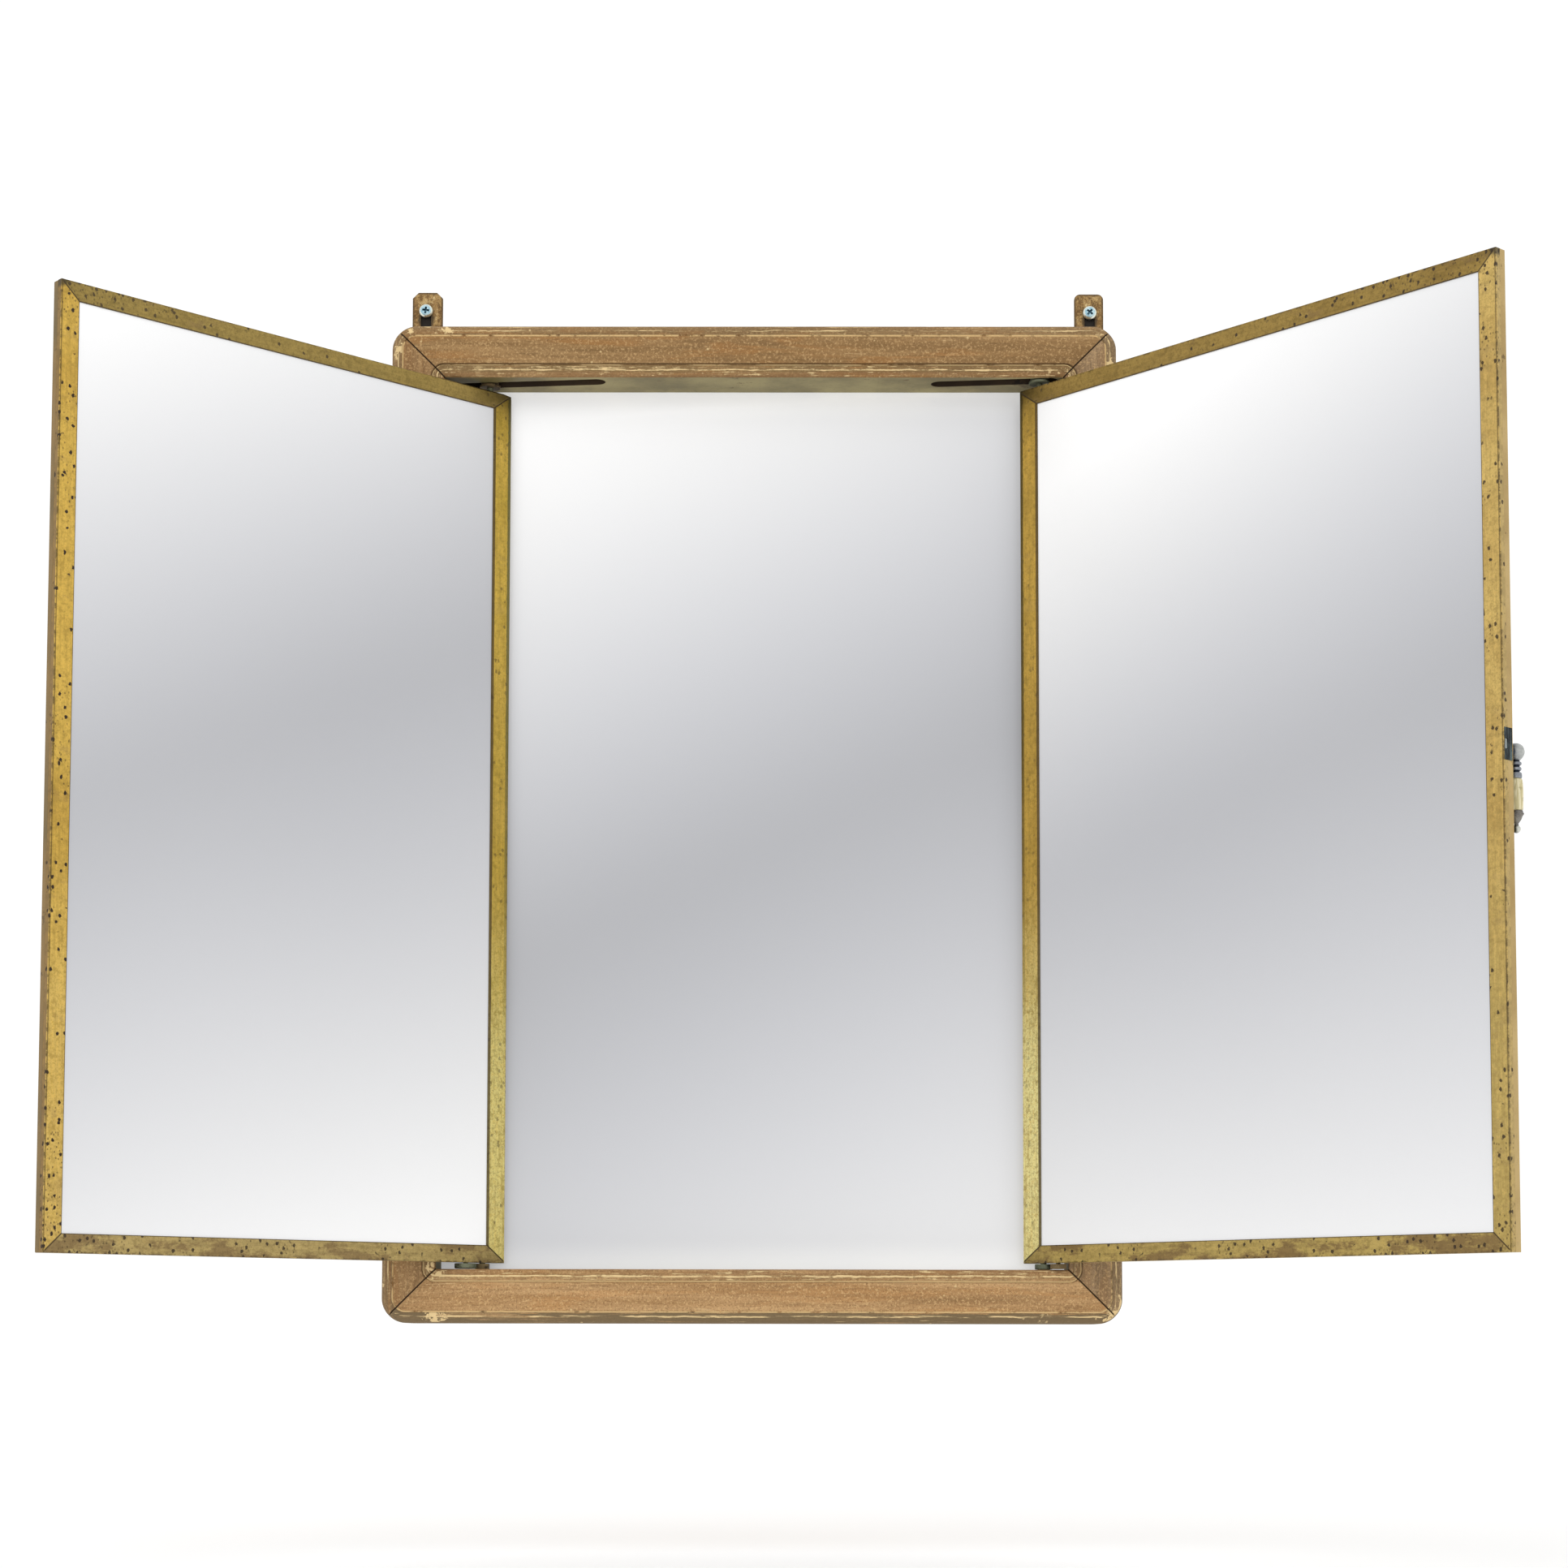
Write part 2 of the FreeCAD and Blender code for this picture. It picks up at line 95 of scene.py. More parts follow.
# ------------------------------------------------------------ node helpers
class Nodes:
    """Builds one material from short calls."""

    def __init__(self, name, metallic=0.0, roughness=0.6, specular=None):
        self.mat = bpy.data.materials.new(name)
        self.mat.use_nodes = True
        self.tree = self.mat.node_tree
        self.shader = self.tree.nodes["Principled BSDF"]
        self.shader.inputs["Metallic"].default_value = metallic
        self.shader.inputs["Roughness"].default_value = roughness
        if specular is not None:
            self.shader.inputs["Specular IOR Level"].default_value = specular
        self.coords = self.tree.nodes.new("ShaderNodeTexCoord").outputs["Object"]

    def link(self, source, socket):
        if isinstance(source, (int, float)):
            socket.default_value = source
        elif isinstance(source, tuple):
            socket.default_value = source if len(source) == 4 else source + (1.0,)
        else:
            self.tree.links.new(source, socket)

    def to(self, name, source):
        self.link(source, self.shader.inputs[name])

    def stretch(self, scale):
        node = self.tree.nodes.new("ShaderNodeMapping")
        node.inputs["Scale"].default_value = scale
        self.link(self.coords, node.inputs["Vector"])
        return node.outputs[0]

    def noise(self, scale, detail=4.0, rough=0.55, vector=None, distortion=0.0):
        node = self.tree.nodes.new("ShaderNodeTexNoise")
        node.inputs["Scale"].default_value = scale
        node.inputs["Detail"].default_value = detail
        node.inputs["Roughness"].default_value = rough
        node.inputs["Distortion"].default_value = distortion
        self.link(vector or self.coords, node.inputs["Vector"])
        return node.outputs["Fac"]

    def cells(self, scale):
        node = self.tree.nodes.new("ShaderNodeTexVoronoi")
        node.inputs["Scale"].default_value = scale
        self.link(self.coords, node.inputs["Vector"])
        return node.outputs["Distance"]

    def dots(self, scale, across, along):
        """Distance to scattered points on a surface, whatever its depth."""
        place = self.tree.nodes.new("ShaderNodeCombineXYZ")
        self.link(across, place.inputs["X"])
        self.link(along, place.inputs["Y"])
        node = self.tree.nodes.new("ShaderNodeTexVoronoi")
        node.voronoi_dimensions = "2D"
        node.inputs["Scale"].default_value = scale
        self.link(place.outputs[0], node.inputs["Vector"])
        return node.outputs["Distance"]

    def ramp(self, source, low, high, reverse=False):
        """0 at low to 1 at high, eased. reverse turns it round."""
        node = self.tree.nodes.new("ShaderNodeMapRange")
        node.interpolation_type = "SMOOTHSTEP"
        node.inputs["From Min"].default_value = low
        node.inputs["From Max"].default_value = high
        node.inputs["To Min"].default_value = 1.0 if reverse else 0.0
        node.inputs["To Max"].default_value = 0.0 if reverse else 1.0
        self.link(source, node.inputs["Value"])
        return node.outputs[0]

    def span(self, source, low, high, to_low, to_high):
        """Straight map of low..high to to_low..to_high, clamped."""
        node = self.tree.nodes.new("ShaderNodeMapRange")
        for key, value in (("From Min", low), ("From Max", high), ("To Min", to_low), ("To Max", to_high)):
            node.inputs[key].default_value = value
        self.link(source, node.inputs["Value"])
        return node.outputs[0]

    def math(self, kind, a, b=0.0):
        node = self.tree.nodes.new("ShaderNodeMath")
        node.operation = kind
        self.link(a, node.inputs[0])
        self.link(b, node.inputs[1])
        return node.outputs[0]

    def add(self, a, b):
        return self.math("ADD", a, b)

    def sub(self, a, b):
        return self.math("SUBTRACT", a, b)

    def mul(self, a, b):
        return self.math("MULTIPLY", a, b)

    def absolute(self, a):
        return self.math("ABSOLUTE", a)

    def length(self, a, b):
        return self.math("SQRT", self.add(self.mul(a, a), self.mul(b, b)))

    def mix(self, factor, a, b, blend="MIX"):
        node = self.tree.nodes.new("ShaderNodeMix")
        node.data_type = "RGBA"
        node.blend_type = blend
        self.link(factor, node.inputs["Factor"])
        self.link(a, node.inputs["A"])
        self.link(b, node.inputs["B"])
        return node.outputs["Result"]

    def tint(self, colour, mask, amount, tone):
        """Mixes tone into colour by amount where the mask is 1."""
        return self.mix(self.mul(mask, amount), colour, tone)

    def attribute(self, name):
        node = self.tree.nodes.new("ShaderNodeAttribute")
        node.attribute_name = name
        return node.outputs["Fac"]

    def vector_attribute(self, name):
        node = self.tree.nodes.new("ShaderNodeAttribute")
        node.attribute_name = name
        return node.outputs["Vector"]

    def split(self, vector):
        node = self.tree.nodes.new("ShaderNodeSeparateXYZ")
        self.link(vector, node.inputs[0])
        return node.outputs["X"], node.outputs["Y"], node.outputs["Z"]

    def least(self, *values):
        low = values[0]
        for value in values[1:]:
            low = self.math("MINIMUM", low, value)
        return low

    def most(self, *values):
        high = values[0]
        for value in values[1:]:
            high = self.math("MAXIMUM", high, value)
        return high

    def bump(self, height, distance, strength):
        node = self.tree.nodes.new("ShaderNodeBump")
        node.inputs["Distance"].default_value = distance
        node.inputs["Strength"].default_value = strength
        self.link(height, node.inputs["Height"])
        return node.outputs[0]


def shade(red, green, blue):
    """A screen colour, 0 to 255 a channel, as linear light."""
    return tuple(((c / 255.0 + 0.055) / 1.055) ** 2.4 for c in (red, green, blue))


def scaled(colour, factor):
    return tuple(min(c * factor, 1.0) for c in colour)


def band(n, value, centre, half, soft):
    """1 where value is within half of centre, fading over soft."""
    off = n.absolute(n.sub(value, centre))
    return n.ramp(off, half, half + soft, reverse=True)


# ------------------------------------------------------------ materials
def wood_textures(n, along_x):
    """The timber's noises by name, some of them drawn out along the grain."""
    def along(length, cross):
        return n.stretch((length, cross, cross) if along_x else (cross, cross, length))

    return {
        "grain": n.noise(1.0, 6.0, 0.6, along(2.2, 60.0), 1.6),
        "pores": n.noise(1.0, 3.0, 0.7, along(45.0, 700.0)),
        "hairs": n.noise(1.0, 4.0, 0.7, along(9.0, 260.0), 0.6),
        "figure": n.noise(1.0, 5.0, 0.6, along(5.0, 34.0), 2.4),
        "flakes": n.noise(14.0, 5.0, 0.7, along(3.0, 90.0)),
        "cloud": n.noise(9.0, 5.0, 0.65),
        "patches": n.noise(38.0, 5.0, 0.65),
        "crumbs": n.noise(150.0, 4.0, 0.7),
        "speck": n.noise(560.0, 4.0, 0.75),
        "dust": n.noise(800.0, 4.0, 0.75),
    }


def wood_ground(n, tex, light, dark, red, lines):
    """Bare timber, from its broad grain down to specks and scuffs."""
    colour = n.mix(n.ramp(tex["grain"], 0.36, 0.66), dark, light)
    colour = n.tint(colour, n.ramp(tex["figure"], 0.5, 0.62), 0.75 - 0.4 * lines, red)
    colour = n.tint(colour, n.ramp(tex["figure"], 0.47, 0.4), 0.45 - 0.3 * lines, scaled(dark, 0.72))
    colour = n.tint(colour, n.ramp(tex["pores"], 0.5, 0.7), 0.5, scaled(dark, 0.55))
    colour = n.tint(colour, n.ramp(tex["hairs"], 0.52, 0.66), 0.4, scaled(dark, 0.62))
    colour = n.tint(colour, n.ramp(tex["speck"], 0.51, 0.62), 0.34 + 0.3 * lines, shade(210, 174, 122))
    colour = n.tint(colour, n.ramp(tex["dust"], 0.5, 0.62), 0.36 + 0.2 * lines, shade(106, 76, 44))
    scuffs = n.mul(n.ramp(tex["hairs"], 0.4, 0.34), n.ramp(tex["patches"], 0.52, 0.6))
    return n.tint(colour, scuffs, 0.55, shade(214, 182, 134))


def wood_paint(n, tex, inset, lines):
    """Where old cream paint is left: broken lines along the mouldings, chips, corners and drips."""
    patches, flakes, crumbs = tex["patches"], tex["flakes"], tex["crumbs"]
    wander = n.add(inset, n.span(n.noise(60.0, 4.0, 0.7), 0.3, 0.7, -0.5, 0.5))
    quirk = n.mul(band(n, inset, QUIRK_LINE, 0.14 + 0.16 * lines, 0.25),
                  n.ramp(patches, 0.5 - 0.2 * lines, 0.58 - 0.2 * lines))
    outer = n.mul(band(n, inset, FINE_LINE, 0.3, 0.3), n.ramp(crumbs, 0.36, 0.48))
    bead = n.mul(band(n, wander, BEAD_LINE, 0.14 + 0.3 * lines, 0.3), n.ramp(flakes, 0.49, 0.54))
    rim = n.mul(band(n, wander, RIM_LINE, 0.2, 0.3), n.ramp(flakes, 0.5 - 0.1 * lines, 0.45 - 0.1 * lines))
    ragged = n.add(flakes, n.mul(crumbs, 0.5))
    lip = n.mul(band(n, wander, LIP_LINE, 0.12 + 0.3 * lines, 0.3),
                n.ramp(ragged, 0.72 - 0.05 * lines, 0.76 - 0.05 * lines))
    chips = n.mul(band(n, wander, 29.6, 1.3, 0.5), n.ramp(ragged, 0.83, 0.86))
    chips = n.most(chips, n.mul(band(n, wander, 33.0, 1.0, 0.5), n.ramp(ragged, 0.84, 0.87)))
    corner = n.mul(n.attribute("corner"), n.ramp(n.add(patches, crumbs), 1.13, 1.18))
    corner = n.mul(corner, n.most(band(n, inset, 30.6, 3.4, 0.4), band(n, inset, 4.0, 3.0, 0.6)))
    dots = n.mul(n.ramp(n.cells(130.0), 0.08, 0.13, reverse=True), n.ramp(patches, 0.53, 0.58))
    return n.most(quirk, outer, bead, rim, lip, chips, corner, n.mul(dots, 0.6))


def wood_grime_and_shade(n, tex, inset, colour, lines):
    """Browned lip, worn inner edge, and an outer bead darkened by grime and by painted shade, most on the
    bottom rail.
    """
    lip = n.mul(band(n, inset, 29.6, 2.0, 1.4), n.ramp(tex["flakes"], 0.36, 0.5))
    colour = n.tint(colour, lip, 0.95 - 0.6 * lines, shade(116, 94, 60))
    worn_edge = n.mul(band(n, inset, 33.4, 1.2, 1.2), n.ramp(tex["hairs"], 0.38, 0.55))
    colour = n.tint(colour, worn_edge, 0.55, shade(128, 94, 60))
    # The outer bead darkens with grime and with painted shade, most on the bottom rail, whose bead faces
    # down.
    reach = n.add(inset, n.span(tex["flakes"], 0.3, 0.7, -1.6, 1.6))
    bead = n.mul(n.ramp(reach, 6.4, 7.4, reverse=True), n.ramp(tex["hairs"], 0.3, 0.46))
    return n.tint(colour, bead, 0.2 + 0.72 * lines * lines, shade(110, 94, 68))


def wood_seams(n, inset, lines):
    """Dark lines: the mitre joint and the two edges of the flat face."""
    x, _y, z = n.split(n.coords)
    to_side = n.sub(HALF_W * MM, n.absolute(x))
    to_end = n.sub(HALF_H * MM, n.absolute(z))
    mitre = n.ramp(n.absolute(n.sub(to_side, to_end)), 0.0005, 0.0010, reverse=True)
    mitre = n.mul(mitre, n.ramp(inset, 1.0, 2.4))
    face_in = n.mul(band(n, inset, 26.4, 0.2, 0.3), 0.8 - 0.6 * lines)
    face_out = n.mul(band(n, inset, 6.7, 0.12, 0.25), 0.25)
    return n.most(face_in, n.mul(mitre, 0.9), face_out)


def wood_material(name, along_x, light, dark, red, lines):
    """Stripped oak. "inset" is millimetres in from the frame's outer edge; lines, how whole the paint is."""
    n = Nodes(name, roughness=0.72, specular=0.25)
    tex = wood_textures(n, along_x)
    inset = n.attribute("inset")
    paint = wood_paint(n, tex, inset, lines)
    colour = wood_grime_and_shade(n, tex, inset, wood_ground(n, tex, light, dark, red, lines), lines)
    colour = n.mix(paint, colour, shade(222, 194, 142))
    n.to("Base Color", n.mix(wood_seams(n, inset, lines), colour, shade(52, 36, 18)))
    height = n.add(n.mul(tex["grain"], 0.4), n.mul(tex["pores"], -0.8))
    height = n.add(height, n.mul(paint, 0.9))
    height = n.add(height, n.mul(tex["speck"], 0.3))
    n.to("Normal", n.bump(height, 0.0006, 0.55))
    n.to("Roughness", n.span(tex["cloud"], 0.3, 0.7, 0.62, 0.82))
    return n.mat


def old_paint_material(name, colour_a, colour_b, chips, chip_amount):
    n = Nodes(name, roughness=0.6, specular=0.3)
    cloud = n.noise(18.0, 5.0, 0.6)
    wear = n.noise(60.0, 6.0, 0.7)
    brush = n.noise(1.0, 4.0, 0.6, n.stretch((30.0, 400.0, 30.0)))
    colour = n.mix(n.ramp(cloud, 0.35, 0.68), colour_a, colour_b)
    colour = n.tint(colour, n.ramp(wear, 0.62, 0.66), chip_amount, chips)
    dust = n.noise(420.0, 3.0, 0.7)
    colour = n.tint(colour, n.ramp(dust, 0.55, 0.7), 0.25, scaled(colour_a, 0.5))
    n.to("Base Color", colour)
    n.to("Roughness", n.span(cloud, 0.3, 0.7, 0.5, 0.75))
    n.to("Normal", n.bump(n.add(wear, brush), 0.0004, 0.4))
    return n.mat


def wing_places(n, data):
    """Sockets in metres: along the wing, proud of it, up, and in from each of its edges."""
    u, w, z = n.split(n.coords)
    return {"u": u, "w": w, "z": z, "hinge": u, "free": n.sub(data["width"] * MM, u),
            "foot": n.sub(z, WING_Z0 * MM), "head": n.sub(WING_Z1 * MM, z)}


def brass_textures(n, at, upright):
    cloud = n.noise(16.0, 5.0, 0.6)
    return {
        "cloud": cloud,
        "lines": n.noise(6.0, 4.0, 0.65, n.stretch((90.0, 400.0, 6.0) if upright else (6.0, 400.0, 90.0))),
        "fine": n.noise(900.0, 3.0, 0.7),
        "mottle": n.noise(260.0, 4.0, 0.7),
        "sink": n.add(at["foot"], n.span(cloud, 0.3, 0.7, -0.03, 0.03)),
        "edge": n.ramp(at["w"], (WING_FRONT - 0.75) * MM, (WING_FRONT - 0.35) * MM, reverse=True),
    }


def brass_ground(n, at, tex, front, patch, low_tone, side):
    """Clouded, finely drawn brass, with its own tone near the foot and on the strip's side."""
    lines, mottle = tex["lines"], tex["mottle"]
    colour = n.mix(n.ramp(tex["cloud"], 0.38, 0.64), front, patch)
    colour = n.mix(n.ramp(tex["sink"], 0.1, 0.27, reverse=True), colour, low_tone)
    colour = n.tint(colour, n.ramp(lines, 0.46, 0.68), 0.45, scaled(front, 0.62))
    colour = n.tint(colour, n.ramp(lines, 0.5, 0.34), 0.3, scaled(front, 1.3))
    colour = n.tint(colour, n.ramp(mottle, 0.48, 0.64), 0.5, scaled(patch, 0.6))
    colour = n.tint(colour, n.ramp(mottle, 0.46, 0.34), 0.4, scaled(patch, 1.35))
    colour = n.tint(colour, n.ramp(tex["fine"], 0.5, 0.62), 0.5, scaled(front, 0.62))
    colour = n.tint(colour, tex["edge"], n.ramp(at["hinge"], 0.004, 0.006), side)
    return n.tint(colour, tex["edge"], n.mul(n.ramp(lines, 0.42, 0.6), 0.35), scaled(side, 0.75))


def brass_stain(n, at, upright):
    """1 where the brass is stained brown, more of it near the foot."""
    stain = n.noise(60.0, 6.0, 0.72, n.stretch((0.6, 1.0, 1.0) if upright else (0.5, 1.0, 1.2)))
    low = n.ramp(at["foot"], 0.0, 0.16, reverse=True)
    return n.ramp(n.add(stain, n.mul(low, 0.08)), 0.55, 0.66)


def brass_grime_and_shade(n, at, tex, colour, nose_tone):
    """Dirt at the rim, a dark outer tip, a dark nose down the hinge edge that grows toward the top, and
    painted shade in the hinge end's top corner.
    """
    hinge, free, head = at["hinge"], at["free"], at["head"]
    rim = n.least(free, n.least(at["foot"], head))
    grime_and_shade = n.mul(n.ramp(rim, 0.0, 0.0014, reverse=True), n.ramp(tex["mottle"], 0.42, 0.58))
    colour = n.tint(colour, grime_and_shade, n.span(tex["edge"], 0.0, 1.0, 0.7, 0.25), shade(72, 60, 40))
    tip = n.mul(n.ramp(free, 0.0, 0.008, reverse=True), n.ramp(head, 0.0, 0.008, reverse=True))
    colour = n.tint(colour, n.ramp(tip, 0.15, 0.7), 0.75, shade(58, 56, 46))
    ragged = n.add(hinge, n.span(tex["mottle"], 0.3, 0.7, -0.0005, 0.0005))
    nose = n.mul(n.ramp(ragged, 0.0030, 0.0040, reverse=True), n.ramp(tex["sink"], 0.08, 0.4))
    colour = n.tint(colour, nose, 0.85, nose_tone)
    # Painted shade in the hinge end's top corner, below the soffit.
    hinge_corner_shade = n.mul(n.ramp(hinge, 0.003, 0.02, reverse=True), n.ramp(head, 0.004, 0.024, reverse=True))
    return n.tint(colour, hinge_corner_shade, 0.55, shade(78, 68, 36))


def brass_pits(n, at):
    """Round pits, a few large and more small, crowded toward the free end and the two ends."""
    over = n.add(at["u"], at["w"])
    wobble = n.span(n.noise(700.0, 2.0, 0.6), 0.3, 0.7, -0.05, 0.05)
    ends = n.ramp(n.most(at["free"], n.least(at["foot"], at["head"])), 0.01, 0.11, reverse=True)
    crowd = n.add(n.noise(34.0, 3.0, 0.6), n.span(ends, 0.0, 1.0, -0.01, 0.1))
    big = n.ramp(n.add(n.dots(135.0, over, n.mul(at["z"], 0.8)), wobble), 0.1, 0.15, reverse=True)
    big = n.mul(big, n.ramp(crowd, 0.47, 0.5))
    small = n.ramp(n.add(n.dots(330.0, over, n.mul(at["z"], 0.7)), wobble), 0.12, 0.17, reverse=True)
    small = n.mul(small, n.ramp(crowd, 0.54, 0.62))
    return n.most(big, n.mul(small, 0.6))


def brass_mitre(n, at, data):
    """The line from each outer corner to the glass's corner, whatever the two strips' widths."""
    near = n.least(n.mul(at["hinge"], STRIP / data["hinge"]), n.mul(at["free"], STRIP / FREE_STRIP))
    close = n.least(at["foot"], at["head"])
    mitre = n.ramp(n.absolute(n.sub(near, close)), 0.00035, 0.0008, reverse=True)
    return n.mul(mitre, n.ramp(n.least(near, close), 0.0004, 0.0016))


def brass_seams(n, at, data, mitre, reveal):
    """Dark lines: the mitre, the edge against the glass and the one down the free edge."""
    inner = n.least(n.sub(at["hinge"], data["hinge"] * MM), n.sub(at["free"], FREE_STRIP * MM),
                    n.sub(at["foot"], STRIP * MM), n.sub(at["head"], STRIP * MM))
    seam = n.ramp(n.absolute(inner), reveal * MM, reveal * MM + 0.0003, reverse=True)
    outer = n.ramp(n.absolute(n.sub(at["free"], 0.0007)), 0.0002, 0.0006, reverse=True)
    return n.most(n.mul(mitre, 0.9), n.mul(seam, 0.85), n.mul(outer, 0.6))


def brass_material(name, data, tones, nose_tone, pit_amount, stain_amount, upright, reveal):
    """Aged brass on a wing's edge strip. Its "place" is (along the wing, proud of it, up), in metres."""
    n = Nodes(name, metallic=0.85, roughness=0.4)
    n.coords = n.vector_attribute("place")
    at = wing_places(n, data)
    tex = brass_textures(n, at, upright)
    stained = brass_stain(n, at, upright)
    colour = brass_ground(n, at, tex, *tones)
    colour = n.tint(colour, stained, stain_amount, shade(104, 76, 44))
    colour = brass_grime_and_shade(n, at, tex, colour, nose_tone)
    pits = n.mul(brass_pits(n, at), pit_amount)
    mitre = brass_mitre(n, at, data)
    seams = brass_seams(n, at, data, mitre, reveal)
    colour = n.mix(pits, colour, shade(44, 28, 6))
    n.to("Base Color", n.mix(seams, colour, shade(58, 42, 14)))
    dark = n.most(pits, seams, n.mul(stained, 0.5))
    n.to("Metallic", n.span(dark, 0.0, 1.0, 0.85, 0.2))
    n.to("Roughness", n.span(n.add(tex["cloud"], n.mul(dark, 0.5)), 0.3, 1.1, 0.34, 0.75))
    height = n.add(n.mul(n.most(pits, mitre), -1.0), n.mul(tex["lines"], 0.35))
    n.to("Normal", n.bump(n.add(height, n.mul(tex["fine"], 0.25)), 0.0004, 0.5))
    return n.mat


def mirror_material(name, x_range, z_range, valley, tilt, lift, lit_at_frame):
    """Glass with a painted reflection: a gradient, bright at the ends and grey between. Part of its tone is
    emitted, so the glass glows.
    """
    n = Nodes(name, metallic=0.28, roughness=0.3, specular=0.4)
    x, _y, z = n.split(n.coords)
    # Painted reflection of a bright room: light at the top and bottom, a grey valley between, bluer in the
    # valley.
    across = n.span(x, x_range[0], x_range[1], 0.0, tilt)
    down = n.span(z, z_range[1], z_range[0], 0.0, 1.0)
    away = n.sub(n.add(down, across), valley)
    reach = n.math("SQRT", n.add(n.mul(away, away), MIRROR_SOFT * MIRROR_SOFT))
    reach = n.sub(reach, MIRROR_SOFT)
    slope = n.span(away, -0.1, 0.1, 0.5, 0.395)
    level = n.add(n.mul(reach, slope), MIRROR_FLOOR)
    level = n.add(level, n.span(x, x_range[0], x_range[1], *lift))
    if lit_at_frame:
        # Painted light: brighter near the frame's opening, to cancel the shade the frame casts on the glass.
        brim = n.least(n.sub(IN_W * MM, n.absolute(x)),
                       n.sub(IN_H * MM, n.absolute(z)))
        level = n.add(level, n.mul(n.ramp(brim, 0.0, 0.022, reverse=True), 0.07))
    level = n.math("POWER", n.math("MINIMUM", level, 1.0), 2.2)
    grey = n.mix(level, (0.0, 0.0, 0.0), (1.0, 1.0, 1.0))
    tone = n.mix(n.ramp(level, 0.5, 0.95, reverse=True), grey, (0.945, 0.955, 1.0), "MULTIPLY")
    # Part of the painted reflection takes light; the rest is emitted, so the glass glows.
    n.to("Base Color", n.mix(1.0, tone, (MIRROR_SHOWN,) * 3, "MULTIPLY"))
    n.to("Emission Color", tone)
    n.shader.inputs["Emission Strength"].default_value = 1.0 - MIRROR_SHOWN
    n.to("Roughness", n.span(n.noise(6.0, 2.0, 0.5), 0.3, 0.7, 0.28, 0.32))
    return n.mat


def metal_material(name, base, patch, rust, roughness, rust_amount, metallic=1.0, scale=1.0):
    n = Nodes(name, metallic=metallic, roughness=roughness)
    cloud = n.noise(160.0 * scale, 5.0, 0.65)
    fine = n.noise(1800.0 * scale, 3.0, 0.6)
    spots = n.noise(420.0 * scale, 5.0, 0.7)
    colour = n.mix(n.ramp(cloud, 0.38, 0.66), base, patch)
    colour = n.tint(colour, n.ramp(spots, 0.56, 0.66), rust_amount, rust)
    n.to("Base Color", colour)
    n.to("Roughness", n.span(cloud, 0.3, 0.7, roughness - 0.08, roughness + 0.12))
    height = n.add(n.mul(fine, 0.3), n.mul(spots, -0.5))
    n.to("Normal", n.bump(height, 0.0003, 0.4))
    return n.mat


def streaked_material(name, base, light):
    """Blackened plate with lighter upright streaks."""
    n = Nodes(name, metallic=0.8, roughness=0.36)
    streak = n.noise(1.0, 4.0, 0.65, n.stretch((420.0, 420.0, 40.0)), 0.5)
    fine = n.noise(1500.0, 3.0, 0.6)
    colour = n.mix(n.ramp(streak, 0.52, 0.62), base, light)
    colour = n.tint(colour, n.ramp(fine, 0.52, 0.66), 0.5, scaled(base, 0.5))
    n.to("Base Color", colour)
    n.to("Normal", n.bump(n.add(streak, n.mul(fine, 0.4)), 0.0004, 0.5))
    return n.mat


def brightened_metal_material(name, base, light, outward, crest):
    """Turned metal on the handle: with no crest, a painted highlight on its outer side; with a crest, lighter
    on the rings past that radius.
    """
    n = Nodes(name, metallic=0.85, roughness=0.32)
    x, y, _z = n.split(n.coords)
    dx, dy = n.sub(x, HANDLE_AT[0]), n.sub(y, HANDLE_AT[1])
    cloud, fine = n.noise(420.0, 4.0, 0.65), n.noise(1800.0, 3.0, 0.6)
    if crest:
        away = n.length(dx, dy)
        bright = n.ramp(away, crest - 0.0004, crest)
    else:
        # Painted highlight: lighter toward +x and a little toward -y.
        toward = n.sub(n.mul(dx, 0.92), n.mul(dy, 0.35))
        bright = n.ramp(toward, -outward * 0.6, outward)
    bright = n.mul(bright, n.span(cloud, 0.35, 0.65, 0.6, 1.0))
    n.to("Base Color", n.mix(bright, base, light))
    n.to("Normal", n.bump(n.add(n.mul(fine, 0.3), cloud), 0.0003, 0.3))
    return n.mat


def screw_head_material(name, x, z):
    """Zinc plate on a turned head: a pale rim round a bluer centre."""
    n = Nodes(name, metallic=0.9, roughness=0.26)
    across, _y, up = n.split(n.coords)
    dx, dz = n.sub(across, x), n.sub(up, z)
    out = n.length(dx, dz)
    blotch, fine = n.noise(500.0, 4.0, 0.7), n.noise(2200.0, 3.0, 0.6)
    colour = n.mix(n.ramp(blotch, 0.4, 0.62), shade(150, 190, 206), shade(196, 222, 228))
    colour = n.mix(n.ramp(out, 0.0032, 0.0038), colour, shade(228, 232, 220))
    colour = n.tint(colour, n.ramp(out, 0.00445, 0.0048), 0.7, shade(150, 158, 150))
    colour = n.tint(colour, n.ramp(fine, 0.55, 0.7), 0.3, shade(110, 130, 140))
    n.to("Base Color", colour)
    rings = n.math("SINE", n.mul(out, 9000.0))
    n.to("Normal", n.bump(n.add(n.mul(rings, 0.12), n.mul(fine, 0.3)), 0.0003, 0.4))
    n.to("Roughness", n.span(blotch, 0.3, 0.7, 0.2, 0.36))
    return n.mat


